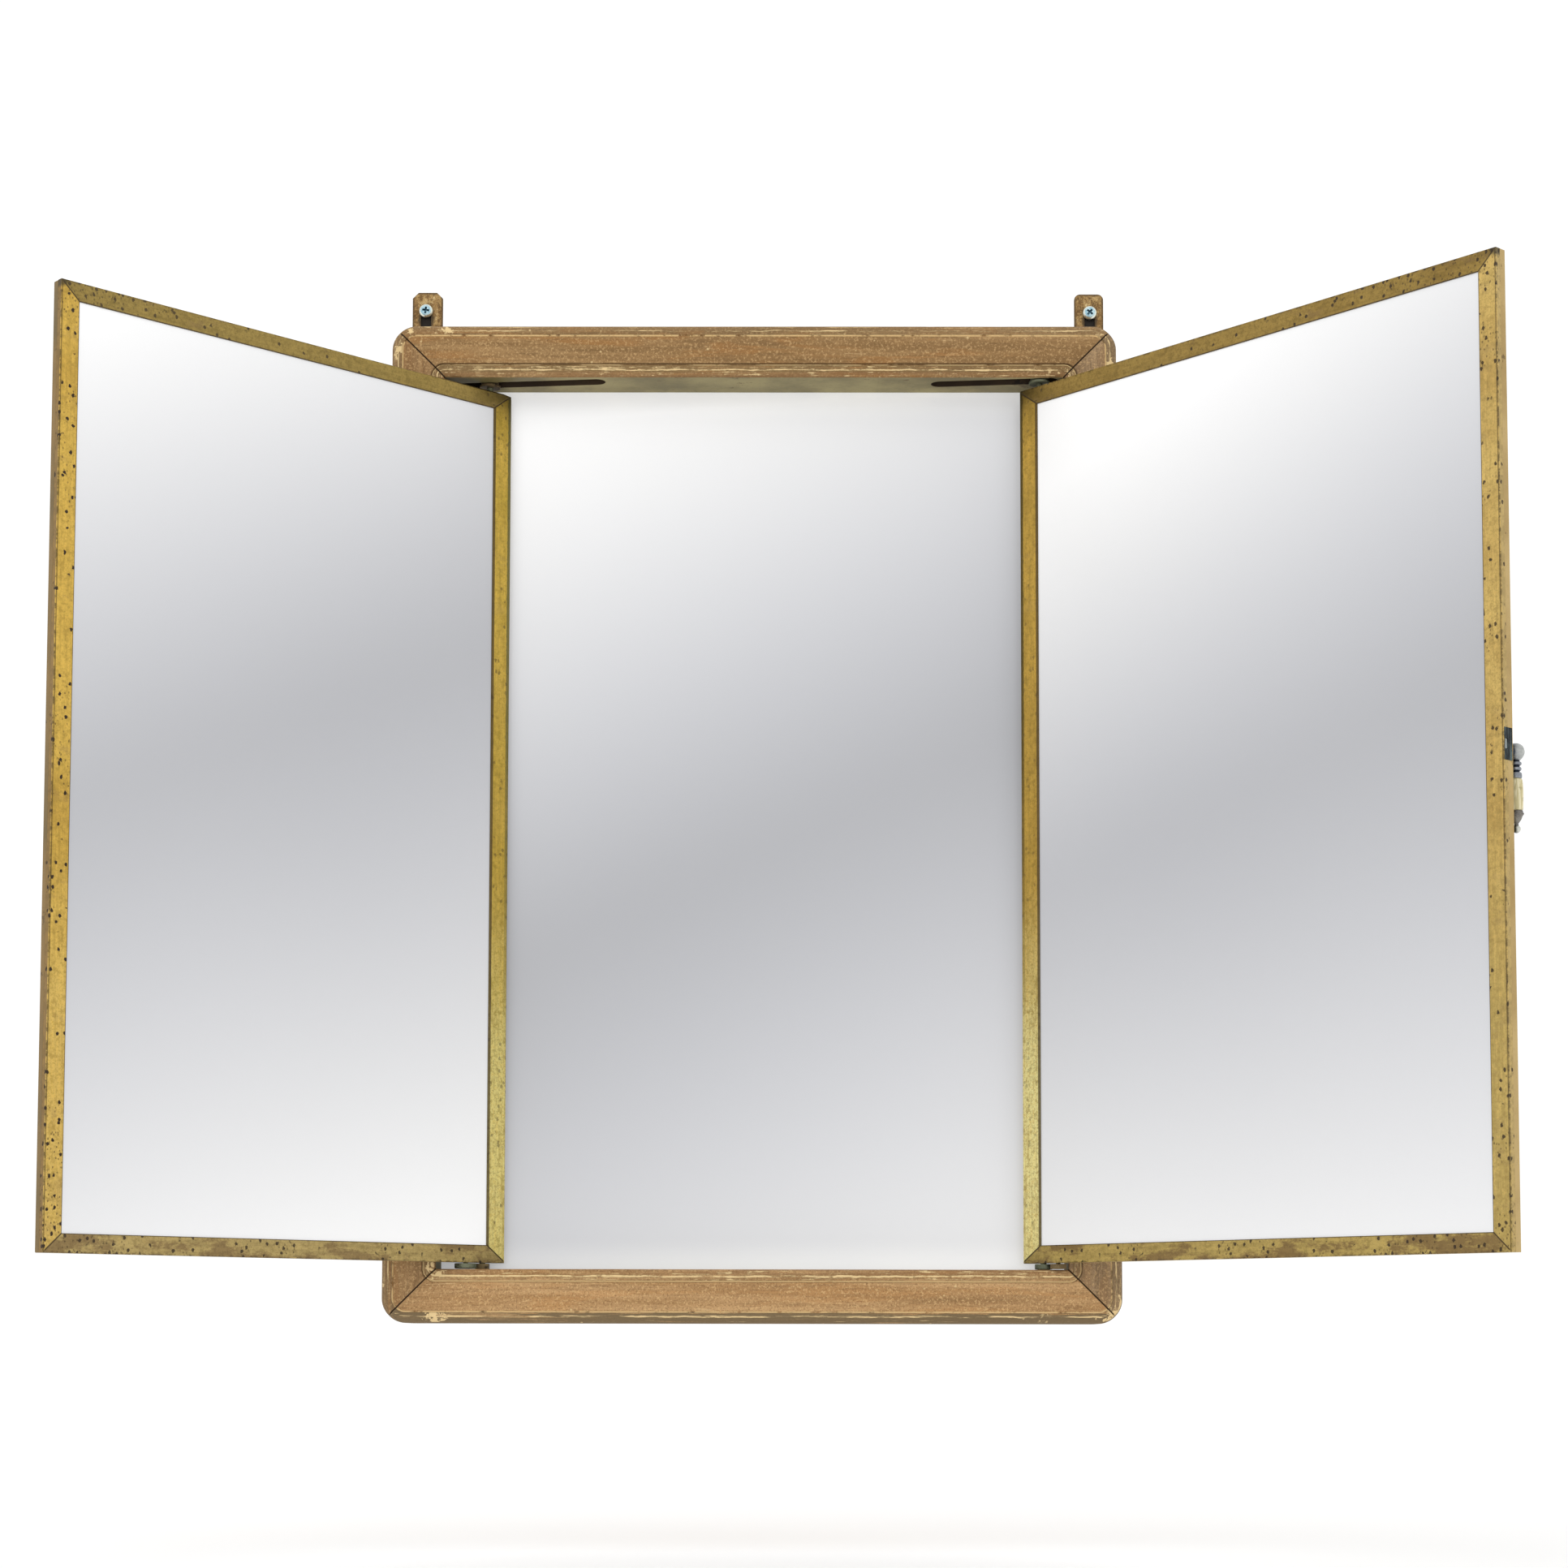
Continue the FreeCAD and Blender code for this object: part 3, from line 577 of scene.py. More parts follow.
def hanger_material(name, x, z, left, right, top):
    """Browned plate with pale flakes and darker edges, with painted shade on its slot's floor and a painted
    shadow below the screw.
    """
    n = Nodes(name, metallic=0.5, roughness=0.5)
    across, depth, up = n.split(n.coords)
    cloud, mottle, fine = n.noise(110.0, 5.0, 0.65), n.noise(240.0, 6.0, 0.85), n.noise(700.0, 3.0, 0.7)
    colour = n.mix(n.ramp(cloud, 0.4, 0.6), shade(160, 126, 76), shade(184, 152, 98))
    colour = n.tint(colour, n.ramp(mottle, 0.49, 0.56), 0.85, shade(108, 78, 38))
    colour = n.tint(colour, n.ramp(mottle, 0.44, 0.38), 0.85, shade(232, 212, 160))
    colour = n.tint(colour, n.ramp(fine, 0.52, 0.62), 0.6, shade(84, 60, 34))
    verge = n.least(n.sub(across, left), n.sub(right, across), n.sub(top, up))
    verge = n.add(verge, n.span(mottle, 0.35, 0.65, -0.0012, 0.0012))
    colour = n.tint(colour, n.ramp(verge, 0.0004, 0.0016, reverse=True), 0.75, shade(66, 48, 26))
    # Painted shadow: dark below the screw head, where the head and the slot throw shade.
    dx = n.sub(across, x)
    dz = n.mul(n.sub(up, z - 0.0058), 0.8)
    out = n.length(dx, dz)
    out = n.add(out, n.span(mottle, 0.3, 0.7, -0.0016, 0.0016))
    front = n.ramp(depth, -0.0006, -0.0003, reverse=True)
    grime_and_shade = n.mul(n.ramp(out, 0.0042, 0.0062, reverse=True), 0.8)
    # Painted shade: the slot's floor is coloured near black.
    slot_shade = n.mul(n.ramp(depth, -0.0017, -0.0013), n.ramp(n.absolute(dx), 0.0034, 0.0038, reverse=True))
    slot_shade = n.mul(slot_shade, n.ramp(n.sub(z, up), -0.0005, 0.0))
    colour = n.mix(n.mul(n.most(grime_and_shade, slot_shade), front), colour, shade(34, 28, 22))
    n.to("Base Color", colour)
    n.to("Roughness", n.span(cloud, 0.3, 0.7, 0.42, 0.7))
    height = n.add(n.mul(mottle, -0.7), n.mul(fine, 0.3))
    n.to("Normal", n.bump(height, 0.0005, 0.6))
    return n.mat


def grip_material():
    n = Nodes("horn", roughness=0.38, specular=0.5)
    streak = n.noise(1.0, 5.0, 0.6, n.stretch((520.0, 520.0, 60.0)), 0.8)
    cloud = n.noise(240.0, 4.0, 0.6)
    colour = n.mix(n.ramp(streak, 0.42, 0.62), shade(222, 212, 176), shade(190, 178, 132))
    colour = n.tint(colour, n.ramp(cloud, 0.5, 0.66), 0.6, shade(140, 132, 84))
    n.to("Base Color", colour)
    n.to("Normal", n.bump(streak, 0.0003, 0.35))
    return n.mat


def card_material(name, base, fleck):
    n = Nodes(name, roughness=0.9, specular=0.1)
    fibre = n.noise(1.0, 4.0, 0.7, n.stretch((300.0, 300.0, 60.0)))
    cloud = n.noise(9.0, 4.0, 0.6)
    colour = n.mix(n.ramp(fibre, 0.4, 0.65), base, fleck)
    colour = n.tint(colour, n.ramp(cloud, 0.45, 0.75), 0.4, scaled(base, 0.55))
    n.to("Base Color", colour)
    n.to("Normal", n.bump(fibre, 0.0003, 0.35))
    return n.mat


WOOD = {
    "top_rail": wood_material("oak_top", True, shade(160, 127, 84), shade(136, 104, 64),
                              shade(154, 109, 60), 0.4),
    "bottom_rail": wood_material("oak_bottom", True, shade(190, 152, 106), shade(164, 126, 82),
                                 shade(184, 134, 80), 1.0),
    "left_stile": wood_material("oak_left", False, shade(164, 130, 88), shade(134, 102, 66),
                                shade(152, 110, 66), 0.6),
    "right_stile": wood_material("oak_right", False, shade(160, 133, 100), shade(132, 107, 78),
                                 shade(150, 115, 76), 0.6),
}
SOFFIT = old_paint_material("soffit_paint", shade(108, 97, 60), shade(154, 142, 100), shade(90, 68, 36), 0.7)
# Painted shade: the grooves' insides are coloured near black for the shade in them.
GROOVE_SHADE = old_paint_material("groove_shade", shade(44, 32, 20), shade(66, 50, 32), shade(24, 18, 12), 0.8)
BOARD = old_paint_material("board_paint", (0.26, 0.235, 0.16), (0.34, 0.3, 0.21), (0.24, 0.15, 0.075), 0.8)
OLIVE, BROWN_SIDE, PALE_SIDE = shade(152, 130, 72), shade(150, 120, 68), shade(192, 166, 106)
NOSE = {"left": shade(96, 96, 62), "right": shade(66, 60, 34)}
# each strip: (front, patches, near the foot, side), pits, stains, upright, half width of the glass line
STRIPS = {
    "left": {
        "free": ((shade(212, 176, 84), shade(196, 160, 74), shade(212, 180, 100), BROWN_SIDE),
                 1.0, 0.2, True, 0.25),
        "hinge": ((shade(212, 178, 82), shade(194, 164, 68), shade(236, 222, 144), shade(130, 122, 84)),
                  0.5, 0.1, True, 1.5),
        "top": ((OLIVE, shade(146, 124, 66), OLIVE, OLIVE), 0.8, 0.3, False, 0.3),
        "bottom": ((shade(182, 160, 104), shade(164, 140, 84), shade(180, 158, 102), OLIVE),
                   0.9, 0.6, False, 0.3)},
    "right": {
        "free": ((shade(206, 176, 104), shade(192, 160, 92), shade(184, 160, 94), PALE_SIDE),
                 0.9, 0.12, True, 0.25),
        "hinge": ((shade(214, 174, 80), shade(190, 156, 72), shade(246, 236, 166), shade(120, 110, 70)),
                  0.35, 0.1, True, 1.5),
        "top": ((shade(154, 128, 68), shade(140, 114, 58), OLIVE, OLIVE), 0.9, 0.35, False, 0.3),
        "bottom": ((shade(186, 162, 96), shade(166, 142, 78), shade(184, 160, 94), OLIVE),
                   0.9, 0.7, False, 0.3)},
}
ROSE = metal_material("brass_rose", shade(178, 142, 74), shade(150, 116, 58),
                      shade(70, 50, 22), 0.4, 0.6, 0.85)
GLASS_Z = (-0.279, 0.279)
MIRROR_C = mirror_material("mirror_centre", (-0.165, 0.175), (-0.295, 0.295), 0.665, 0.27,
                           (-0.025, -0.025), True)
MIRROR_L = mirror_material("mirror_left", (-0.407, -0.173), GLASS_Z, 0.545, 0.25, (0.0, 0.0), False)
MIRROR_R = mirror_material("mirror_right", (0.187, 0.43), GLASS_Z, 0.585, 0.16, (0.045, -0.025), False)
ZINC = metal_material("zinc_screw", (0.72, 0.77, 0.8), (0.86, 0.9, 0.92), (0.4, 0.42, 0.42), 0.24, 0.3)
# Old bronze and steel for the pivot fittings, kept dark partly as painted shade for the hinge corners they
# sit in.
BRONZE_IN_SHADE = metal_material("bronze_shoe_in_shade", shade(96, 78, 50), shade(122, 104, 70),
                        shade(50, 38, 22), 0.5, 0.9, 0.6, 0.5)
OLD_STEEL_IN_SHADE = metal_material("old_steel_in_shade", shade(92, 96, 76), shade(118, 120, 96),
                           shade(50, 44, 28), 0.5, 0.8, 0.6, 0.5)
DARK = metal_material("dark_steel", shade(46, 54, 66), shade(96, 106, 120),
                      shade(150, 158, 160), 0.34, 0.5, 0.9)
LATCH = streaked_material("latch_steel", shade(16, 22, 26), shade(88, 104, 104))
EDGE = {
    "left": old_paint_material("edge_left", shade(134, 108, 64), shade(112, 96, 66), shade(66, 50, 28), 0.7),
    "right": old_paint_material("edge_right", shade(182, 156, 102), shade(160, 134, 84),
                                shade(84, 64, 34), 0.7),
}
STEEL = metal_material("steel", (0.2, 0.23, 0.22), (0.33, 0.36, 0.35), (0.12, 0.08, 0.05), 0.38, 0.6, 0.95)
# Painted shade: the cross recess is a darker zinc than the head, for the shade inside it.
RECESS_SHADE = metal_material("screw_recess_shade", shade(70, 110, 128), shade(112, 150, 164),
                        shade(40, 58, 66), 0.4, 0.5, 0.7)
BALL = brightened_metal_material("pewter_ball", shade(84, 88, 94), shade(188, 190, 186), 0.0048, 0.0)
NECK = brightened_metal_material("ringed_steel", shade(34, 40, 52), shade(150, 154, 160), 0.0, 0.0031)
FINIAL = brightened_metal_material("finial_steel", shade(26, 28, 26), shade(226, 226, 214), 0.0018, 0.0)
CUP = metal_material("dull_pewter", shade(104, 100, 96), shade(138, 134, 126),
                     shade(66, 60, 54), 0.42, 0.6, 0.85)
HORN = grip_material()
CARD = card_material("card", (0.3, 0.25, 0.18), (0.36, 0.31, 0.23))
PLY = card_material("plywood", (0.47, 0.33, 0.19), (0.55, 0.4, 0.25))


# ------------------------------------------------------------ mesh helpers
def new_object(name, bm, materials):
    mesh = bpy.data.meshes.new(name)
    bm.to_mesh(mesh)
    bm.free()
    obj = bpy.data.objects.new(name, mesh)
    bpy.context.scene.collection.objects.link(obj)
    for mat in materials:
        mesh.materials.append(mat)
    return obj


def apply_modifiers(obj):
    bpy.context.view_layer.update()
    graph = bpy.context.evaluated_depsgraph_get()
    mesh = bpy.data.meshes.new_from_object(obj.evaluated_get(graph))
    obj.modifiers.clear()
    old = obj.data
    obj.data = mesh
    mesh.name = obj.name
    bpy.data.meshes.remove(old)


def smooth(obj, degrees=38.0):
    obj.data.shade_smooth()
    obj.data.set_sharp_from_angle(angle=math.radians(degrees))


def float_layer(mesh, name, values):
    layer = mesh.attributes.get(name) or mesh.attributes.new(name, "FLOAT", "POINT")
    layer.data.foreach_set("value", values)


def body_of_node(node):
    for body, names in frame["record"]["behaviour"]["bodies"].items():
        if node in names:
            return body
    raise KeyError(node)


def settle(obj, *nodes):
    """The piece stands for these nodes and rides with the first one's body."""
    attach(obj, body_of_node(nodes[0]))
    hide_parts(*nodes)


def refined(node, materials, bevel, segments=2):
    """A copy of a CAD node with clean faces and softened edges."""
    source = bpy.data.objects[node]
    bm = bmesh.new()
    bm.from_mesh(source.data)
    bmesh.ops.remove_doubles(bm, verts=bm.verts, dist=1e-6)
    bmesh.ops.dissolve_limit(bm, angle_limit=math.radians(1.0), verts=bm.verts, edges=bm.edges)
    obj = new_object("v_" + node, bm, materials)
    obj.data.shade_smooth()
    mod = obj.modifiers.new("soft", "BEVEL")
    mod.width = bevel * MM
    mod.segments = segments
    mod.limit_method = "ANGLE"
    mod.angle_limit = math.radians(35.0)
    mod.use_clamp_overlap = True
    even = obj.modifiers.new("even", "WEIGHTED_NORMAL")
    even.weight = 80
    apply_modifiers(obj)
    settle(obj, node)
    return obj


# ------------------------------------------------------------ wooden rails
def moulding():
    """(inset from the outer edge, y, kind) round one rail's section; kind 1 is the painted soffit."""
    section = []
    for i in range(9):
        a = math.radians(90.0 * i / 8)
        section.append((BEAD_R * (1 - math.sin(a)), -DEPTH + BEAD_R * (1 - math.cos(a)), 0))
    section.reverse()
    section = [(0.0, -0.6, 0), (0.0, -20.0, 0)] + section
    section += [(6.5, -DEPTH, 0), (6.9, -DEPTH + 0.1, 0), (7.3, -DEPTH + 0.85, 0), (7.7, -DEPTH + 0.8, 0),
                (8.1, -DEPTH + 0.15, 0), (8.7, -DEPTH, 0), (12.0, -DEPTH, 0), (16.0, -DEPTH, 0),
                (20.0, -DEPTH, 0), (24.0, -DEPTH, 0), (25.9, -DEPTH, 0), (26.3, -DEPTH + 0.2, 0),
                (26.6, -DEPTH + 1.2, 0), (27.0, -DEPTH + 1.3, 0), (27.4, -DEPTH + 0.8, 0)]
    for i in range(1, 9):
        t = i / 8.0
        a = t * math.pi / 2
        section.append((27.4 + 7.3 * math.sin(a), -DEPTH + 0.8 + 1.7 * (1 - math.cos(a)), 0))
    section += [(35.0, -DEPTH + 3.0, 1)]
    section += [(35.0, y, 1) for y in (-36.0, -26.0, -16.0, -9.2)]
    section += [(34.9, REBATE_Y, 0), (29.0, REBATE_Y, 0), (29.0, BACK_STEP_Y, 0), (21.0, BACK_STEP_Y, 0),
                (21.0, -0.3, 0),
                (20.6, 0.0, 0), (0.6, 0.0, 0)]
    return section


def corner_path(inset, half_a, half_b, arc_steps, runs):
    """Points (along, across) of one side's line at this inset, from mitre to mitre."""
    if inset <= CORNER_R:
        r, reach = CORNER_R - inset, CORNER_R
    else:
        t = min((inset - CORNER_R) / (RAIL - LIP_W - CORNER_R), 1.0)
        r = t * LIP_W if inset < RAIL - LIP_W else RAIL - inset
        reach = inset + r
    cx, cz = half_a - reach, half_b - reach
    points = []
    for i in range(arc_steps):
        a = math.radians(45.0 + 45.0 * i / arc_steps)
        points.append((-cx - r * math.cos(a) + MITRE_GAP * (1 - i / arc_steps), cz + r * math.sin(a)))
    for i in range(runs + 1):
        points.append((-cx + 2 * cx * i / runs, cz + r))
    points += [(-x, z) for x, z in reversed(points[:arc_steps])]
    return points


def worn(p, seed):
    """Small dents and waves, always into the wood."""
    wave = noise.noise(Vector((p.x * 7, p.y * 7, p.z * 7 + seed)))
    nick = noise.noise(Vector((p.x * 90, p.y * 90, p.z * 90 + seed)))
    return -DENT_DEPTH * abs(wave) - NICK_DEPTH * max(0.0, nick - NICK_LEVEL)


def rail(name, horizontal, sign, seed):
    section = moulding()
    half_a, half_b = (HALF_W, HALF_H) if horizontal else (HALF_H, HALF_W)
    runs = int(half_a * 2 / 5)
    bm = bmesh.new()
    rings = []
    insets, corners = [], []
    for inset, y, _kind in section:
        row = []
        for a, b in corner_path(inset, half_a, half_b, 6, runs):
            x, z = (a, b * sign) if horizontal else (b * sign, a)
            row.append(bm.verts.new((x, y, z)))
            inner = half_a - RAIL
            insets.append(inset)
            corners.append(max(0.0, min(1.0, (abs(a) - inner + 26.0) / 22.0)))
        rings.append(row)
    count = len(section)
    for i in range(count):
        a, b = rings[i], rings[(i + 1) % count]
        soffit = section[i][2] == 1
        for j in range(len(a) - 1):
            face = bm.faces.new((a[j], a[j + 1], b[j + 1], b[j]))
            face.material_index = 1 if soffit else 0
    bm.faces.new([r[0] for r in rings])
    bm.faces.new([r[-1] for r in reversed(rings)])
    bmesh.ops.recalc_face_normals(bm, faces=bm.faces)
    bm.normal_update()
    moved = [(v, v.co + v.normal * worn(v.co * MM, seed)) for v in bm.verts if v.co.y < -1.0]
    for v, co in moved:
        v.co = co
    bmesh.ops.scale(bm, vec=(MM, MM, MM), verts=bm.verts)
    obj = new_object("v_" + name, bm, [WOOD[name], SOFFIT])
    float_layer(obj.data, "inset", insets)
    float_layer(obj.data, "corner", corners)
    return obj


def groove_cutter(line, z0, z1):
    (x0, y0), (x1, y1) = line
    way = Vector((x1 - x0, y1 - y0)).normalized()
    heading = math.atan2(way.y, way.x)
    outline = []
    for end, start in (((x1, y1), heading - math.pi / 2), ((x0, y0), heading + math.pi / 2)):
        for i in range(17):
            a = start + math.pi * i / 16
            outline.append((end[0] + GROOVE_R * math.cos(a), end[1] + GROOVE_R * math.sin(a)))
    bm = bmesh.new()
    low = [bm.verts.new((x * MM, y * MM, z0 * MM)) for x, y in outline]
    high = [bm.verts.new((x * MM, y * MM, z1 * MM)) for x, y in outline]
    bm.faces.new(list(reversed(low)))
    bm.faces.new(high)
    for i in range(len(outline)):
        j = (i + 1) % len(outline)
        bm.faces.new((low[i], low[j], high[j], high[i]))
    return new_object("cutter", bm, [GROOVE_SHADE])


def cut_away(obj, cutters):
    for cutter in cutters:
        mod = obj.modifiers.new("cut", "BOOLEAN")
        mod.operation = "DIFFERENCE"
        mod.solver = "EXACT"
        mod.material_mode = "TRANSFER"
        mod.object = cutter
    apply_modifiers(obj)
    for cutter in cutters:
        mesh = cutter.data
        bpy.data.objects.remove(cutter)
        bpy.data.meshes.remove(mesh)


def make_frame():
    for seed, (name, horizontal, sign) in enumerate((("top_rail", True, 1), ("bottom_rail", True, -1),
                                                     ("left_stile", False, -1), ("right_stile", False, 1))):
        obj = rail(name, horizontal, sign, seed * 3.7)
        if horizontal:
            z0, z1 = (IN_H - 2, IN_H + GROOVE_D) if sign > 0 else (-IN_H - GROOVE_D, -IN_H + 2)
            cut_away(obj, [groove_cutter(line, z0, z1) for line in GROOVES])
        smooth(obj, 30.0)
        settle(obj, name)


# ------------------------------------------------------------ wings
def wing_local(name, co):
    """(u, w, z) in millimetres of a point on this wing."""
    data = WINGS[name]
    side, angle = data["side"], math.radians(data["angle"])
    dx, dy = co.x / MM - data["pivot"][0], co.y / MM - data["pivot"][1]
    u = dx * side * math.cos(angle) - dy * math.sin(angle) + data["back"]
    w = -dx * side * math.sin(angle) - dy * math.cos(angle)
    return u, w, co.z / MM


def wing_matrix(name):
    """Turns wing coordinates (u, -w, z) in metres into the frame's."""
    data = WINGS[name]
    side = data["side"]
    spin = Matrix.Rotation(-side * math.radians(data["angle"]), 4, "Z")
    away = Matrix.Translation(Vector((data["pivot"][0] * MM, data["pivot"][1] * MM, 0.0)))
    back = Matrix.Translation(Vector((-side * data["back"] * MM, 0.0, 0.0)))
    return away @ spin @ back


def round_off(obj, name):
    """Eases the upper end of the left wing's hinge corner."""
    for v in obj.data.vertices:
        u, _w, z = wing_local(name, v.co)
        if name == "left" and z > WING_Z1 - 1.0 and u < ROUND_U:
            v.co.z -= ROUND_DROP * MM * (1.0 - u / ROUND_U) ** 2


def make_strip(name, where):
    tones, *rest = STRIPS[name][where]
    mat = brass_material("brass_%s_%s" % (name, where), WINGS[name], tones, NOSE[name], *rest)
    obj = refined("%s_wing_strip_%s" % (name, where), [mat], 0.25, 3)
    layer = obj.data.attributes.new("place", "FLOAT_VECTOR", "POINT")
    for i, v in enumerate(obj.data.vertices):
        layer.data[i].vector = [c * MM for c in wing_local(name, v.co)]
    round_off(obj, name)


def make_wing(name, mirror):
    for where in ("bottom", "top", "hinge", "free"):
        make_strip(name, where)
    board = refined(name + "_wing_board", [BOARD, EDGE[name]], 0.5)
    facing = wing_matrix(name).to_3x3() @ Vector((0.0, 1.0, 0.0))
    for face in board.data.polygons:
        if abs(face.normal.dot(facing)) < 0.5:
            face.material_index = 1
    round_off(board, name)
    refined(name + "_wing_mirror", [mirror], 0.2, 1)
    # The pivot fittings take the darkened steel and bronze, partly painted shade for the hinge corners.
    for where in ("bottom", "top"):
        refined("%s_pivot_block_%s" % (name, where), [OLD_STEEL_IN_SHADE], 0.3)
        refined("%s_shoe_%s" % (name, where), [BRONZE_IN_SHADE if name == "left" else OLD_STEEL_IN_SHADE], 0.3)
        refined("%s_pin_%s" % (name, where), [OLD_STEEL_IN_SHADE], 0.2)
    refined(name + "_rub_pad", [OLD_STEEL_IN_SHADE if name == "left" else BRONZE_IN_SHADE], 0.5, 3)


# ------------------------------------------------------------ turned parts
def lathe(name, profile, matrix, materials, steps=64):
    """Turns a profile of (radius, height) in millimetres round the matrix's Z axis."""
    bm = bmesh.new()
    rings = []
    for r, h in profile:
        row = []
        for i in range(steps):
            a = 2 * math.pi * i / steps
            row.append(bm.verts.new((r * MM * math.cos(a), r * MM * math.sin(a), h * MM)))
        rings.append(row)
    for a, b in zip(rings, rings[1:]):
        for i in range(steps):
            j = (i + 1) % steps
            bm.faces.new((a[i], a[j], b[j], b[i]))
    bm.faces.new(rings[0])
    bm.faces.new(list(reversed(rings[-1])))
    bmesh.ops.recalc_face_normals(bm, faces=bm.faces)
    bm.transform(matrix)
    return new_object(name, bm, materials)


def rounded(profile, steps=5):
    """Catmull-Rom through the profile's points."""
    out = []
    pts = [profile[0]] + list(profile) + [profile[-1]]
    for p0, p1, p2, p3 in zip(pts, pts[1:], pts[2:], pts[3:]):
        for i in range(steps):
            t = i / steps
            q = []
            for a, b, c, d in zip(p0, p1, p2, p3):
                q.append(0.5 * (2 * b + (c - a) * t + (2 * a - 5 * b + 4 * c - d) * t * t
                                + (3 * b - a - 3 * c + d) * t ** 3))
            out.append((max(q[0], 0.02), q[1]))
    out.append(profile[-1])
    return out


def ball_profile(r, h0, steps=20):
    """(radius, height) down a ball of radius r centred at h0."""
    points = []
    for i in range(steps + 1):
        a = math.pi * i / steps
        points.append((max(r * math.sin(a), 0.02), h0 - r * math.cos(a)))
    return points


def make_handle():
    centre = wing_matrix("right") @ Vector(((WINGS["right"]["width"] - HANDLE_IN) * MM,
                                            (WING_BEHIND + HANDLE_OUT) * MM, HANDLE_Z * MM))
    hang = Matrix.Translation(centre) @ Matrix.Rotation(math.pi, 4, "X")
    pieces = {
        "handle_ball": (rounded([(0.02, -5.35), (2.6, -4.85), (4.55, -3.1), (5.3, -0.6), (5.0, 1.5),
                                 (3.9, 3.4), (2.5, 4.8)], 5), BALL),
        "handle_neck": (rounded([(3.6, 3.2), (2.6, 4.6), (2.5, 5.4), (3.4, 6.0), (3.4, 7.2), (2.5, 7.8),
                                 (2.5, 8.5), (3.3, 9.1), (3.3, 10.3), (2.5, 10.9), (2.5, 11.6),
                                 (3.5, 12.2), (3.6, 14.6),
                                 (3.1, 15.4)], 4), NECK),
        "handle_grip": (rounded([(3.0, 15.4), (3.7, 15.9), (4.1, 18.5), (4.3, 22.5), (4.25, 27.5),
                                 (4.1, 31.5), (3.9, 33.4), (3.2, 34.0)], 5), HORN),
        "handle_cup": (rounded([(3.2, 34.0), (3.9, 34.3), (3.9, 35.0), (4.4, 35.6), (4.35, 36.2), (3.6, 37.2),
                                (2.8, 39.2), (1.7, 40.8), (1.2, 41.6), (1.4, 42.6)], 4), CUP),
        "handle_finial": (ball_profile(2.4, 44.6), FINIAL),
    }
    for node, (profile, mat) in pieces.items():
        obj = lathe("v_" + node, profile, hang, [mat])
        smooth(obj, 50.0)
        settle(obj, node)
    refined("handle_spindle", [DARK], 0.3)
    refined("handle_rose", [ROSE], 0.5, 3)
    refined("latch_case", [LATCH], 0.25)
    refined("latch_bolt", [STEEL], 0.3)


# ------------------------------------------------------------ screws and plates
def cross_recess(y):
    """A tapered cross-shaped cutter on the y axis that points into the wall from y, in millimetres."""
    bm = bmesh.new()
    s, w = RECESS_SIZE / 2, RECESS_WIDTH / 2
    outline = [(w, s), (w, w), (s, w), (s, -w), (w, -w), (w, -s),
               (-w, -s), (-w, -w), (-s, -w), (-s, w), (-w, w), (-w, s)]
    front = [bm.verts.new((a * MM, (y - 1.0) * MM, b * MM)) for a, b in outline]
    taper = RECESS_TAPER * MM
    back = [bm.verts.new((a * taper, (y + RECESS_DEPTH) * MM, b * taper)) for a, b in outline]
    bm.faces.new(front)
    bm.faces.new(list(reversed(back)))
    for i in range(12):
        j = (i + 1) % 12
        bm.faces.new((front[j], front[i], back[i], back[j]))
    bmesh.ops.recalc_face_normals(bm, faces=bm.faces)
    return new_object("cutter", bm, [RECESS_SHADE])


def make_wall_screw(node, spin):
    low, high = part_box(node)
    x, z = (low[0] + high[0]) / 2 / MM, (low[2] + high[2]) / 2 / MM
    profile = [(0.3, 0.0), (1.6, 0.05), (3.0, 0.3), (4.0, 0.8), (4.6, 1.5), (4.85, 2.3), (4.7, 2.9),
               (2.6, 3.0), (2.6, 6.0), (SCREW_ROOT, THREAD_FROM)]
    height = THREAD_FROM
    while height < THREAD_TO:
        profile += [(SCREW_ROOT, height + 0.35), (SCREW_CREST, height + 0.75)]
        profile += [(SCREW_CREST, height + 0.85), (SCREW_ROOT, height + 1.2)]
        height += SCREW_PITCH
    profile += [(1.5, 41.0), (0.2, 44.9)]
    matrix = Matrix.Translation(Vector((x * MM, low[1], z * MM))) @ Matrix.Rotation(-math.pi / 2, 4, "X")
    zinc = screw_head_material("zinc_" + node, x * MM, z * MM)
    obj = lathe("v_" + node, profile, matrix, [zinc], 48)
    cutter = cross_recess(low[1] / MM)
    cutter.data.transform(Matrix.Translation(Vector((x * MM, 0, z * MM))) @ Matrix.Rotation(spin, 4, "Y"))
    cut_away(obj, [cutter])
    smooth(obj, 40.0)
    settle(obj, node)


def make_fittings():
    make_wall_screw("left_wall_screw", 0.12)
    make_wall_screw("right_wall_screw", 0.7)
    for name in ("left", "right"):
        low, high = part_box(name + "_wall_screw")
        spot = (low[0] + high[0]) / 2, (low[2] + high[2]) / 2
        low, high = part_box(name + "_hanger")
        plate = hanger_material("bronze_%s_hanger" % name, *spot, low[0], high[0], high[2])
        refined(name + "_hanger", [plate], 0.4)
        for place in ("lower", "upper"):
            refined("%s_hanger_screw_%s" % (name, place), [ZINC], 0.15)
    for i in range(1, 5):
        refined("panel_screw_%d" % i, [ZINC], 0.15)
    refined("strike_plate", [DARK], 0.2)
    refined("strike_screw_lower", [DARK], 0.15)
    refined("strike_screw_upper", [DARK], 0.15)
    refined("back_panel", [PLY], 0.4)
    refined("card_backing", [CARD], 0.1, 1)
    refined("centre_mirror", [MIRROR_C], 0.2, 1)


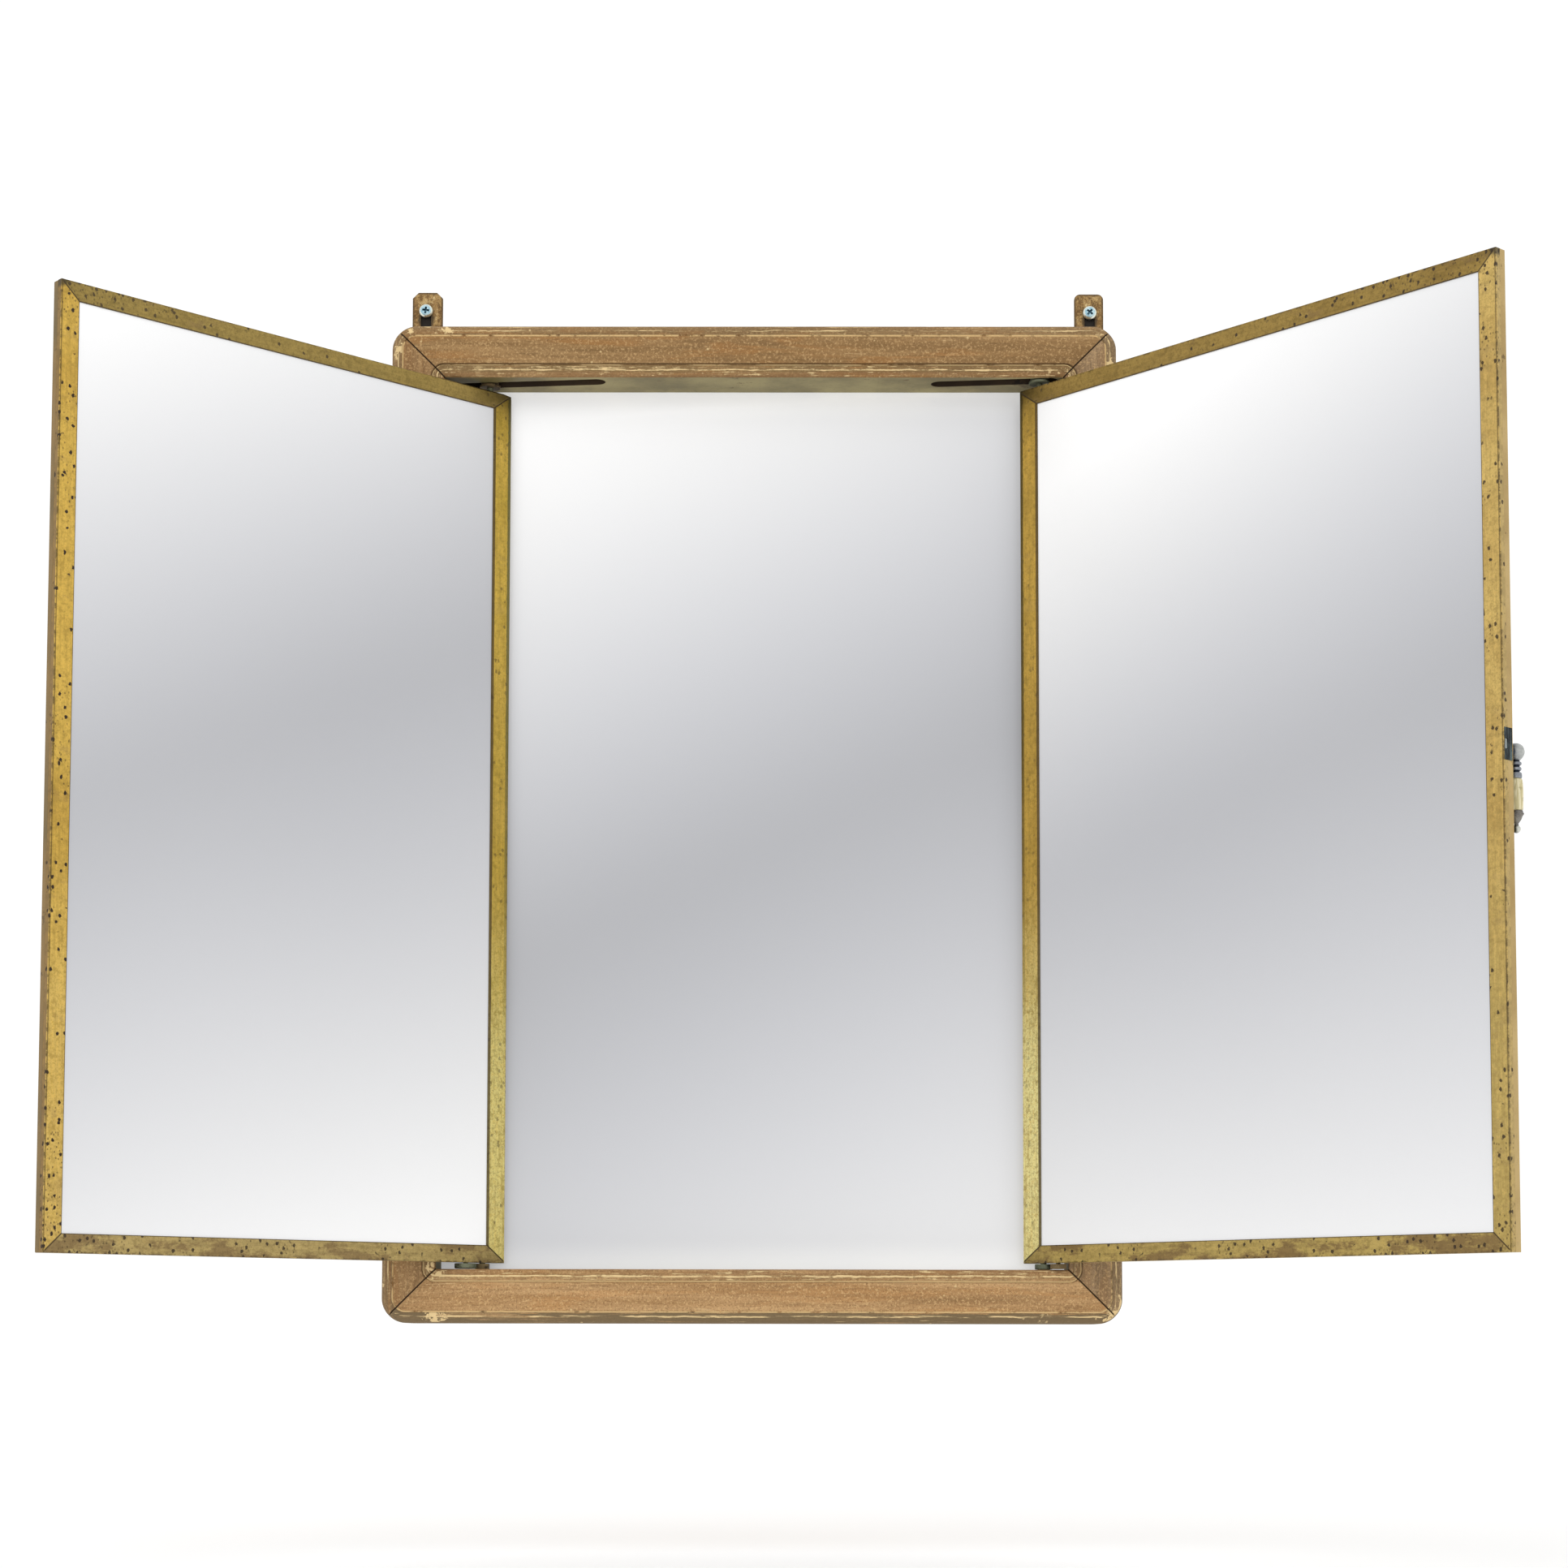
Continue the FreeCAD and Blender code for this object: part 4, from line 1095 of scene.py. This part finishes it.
# ------------------------------------------------------------ stage
def area(name, place, target, size, power, colour):
    data = bpy.data.lights.new(name, "AREA")
    data.shape = "RECTANGLE"
    data.size, data.size_y = size
    data.energy = power
    data.color = colour
    obj = bpy.data.objects.new(name, data)
    obj.location = place
    way = Vector(target) - Vector(place)
    obj.rotation_euler = way.to_track_quat("-Z", "Y").to_euler()
    obj.visible_glossy = False
    bpy.context.scene.collection.objects.link(obj)


def make_stage():
    bm = bmesh.new()
    bmesh.ops.create_grid(bm, x_segments=4, y_segments=4, size=FLOOR_HALF)
    bm.transform(Matrix.Translation(Vector((0, 0, FLOOR_Z))))
    n = Nodes("floor", roughness=0.85, specular=0.1)
    n.to("Base Color", (1.0, 1.0, 1.0))
    floor = new_object("floor", bm, [n.mat])
    world = bpy.data.worlds.new("studio")
    bpy.context.scene.world = world
    world.use_nodes = True
    world.node_tree.nodes["Background"].inputs["Color"].default_value = (1.0, 1.0, 1.0, 1.0)
    world.node_tree.nodes["Background"].inputs["Strength"].default_value = WORLD_LIGHT
    area("key", (-0.9, -2.2, 1.8), (0, 0, 0), (1.6, 1.2), 9.0, (1.0, 0.995, 0.985))
    area("fill", (1.6, -2.0, 0.6), (0, 0, 0), (1.4, 1.4), 3.0, (0.97, 0.985, 1.0))
    view = bpy.context.scene.view_settings
    view.view_transform = "Standard"
    data = bpy.data.cameras.new("camera")
    data.lens, data.sensor_width = CAM_LENS, 36.0
    data.shift_y = CAM_SHIFT
    camera = bpy.data.objects.new("camera", data)
    turn = (Matrix.Rotation(math.radians(-CAM_YAW), 4, "Z")
            @ Matrix.Rotation(math.radians(90.0 + CAM_PITCH), 4, "X")
            @ Matrix.Rotation(math.radians(-CAM_ROLL), 4, "Z"))
    camera.matrix_world = Matrix.Translation(Vector(CAM_POS)) @ turn
    bpy.context.scene.collection.objects.link(camera)
    bpy.context.scene.camera = camera


make_frame()
make_wing("left", MIRROR_L)
make_wing("right", MIRROR_R)
make_handle()
make_fittings()
make_stage()

bpy.context.view_layer.update()
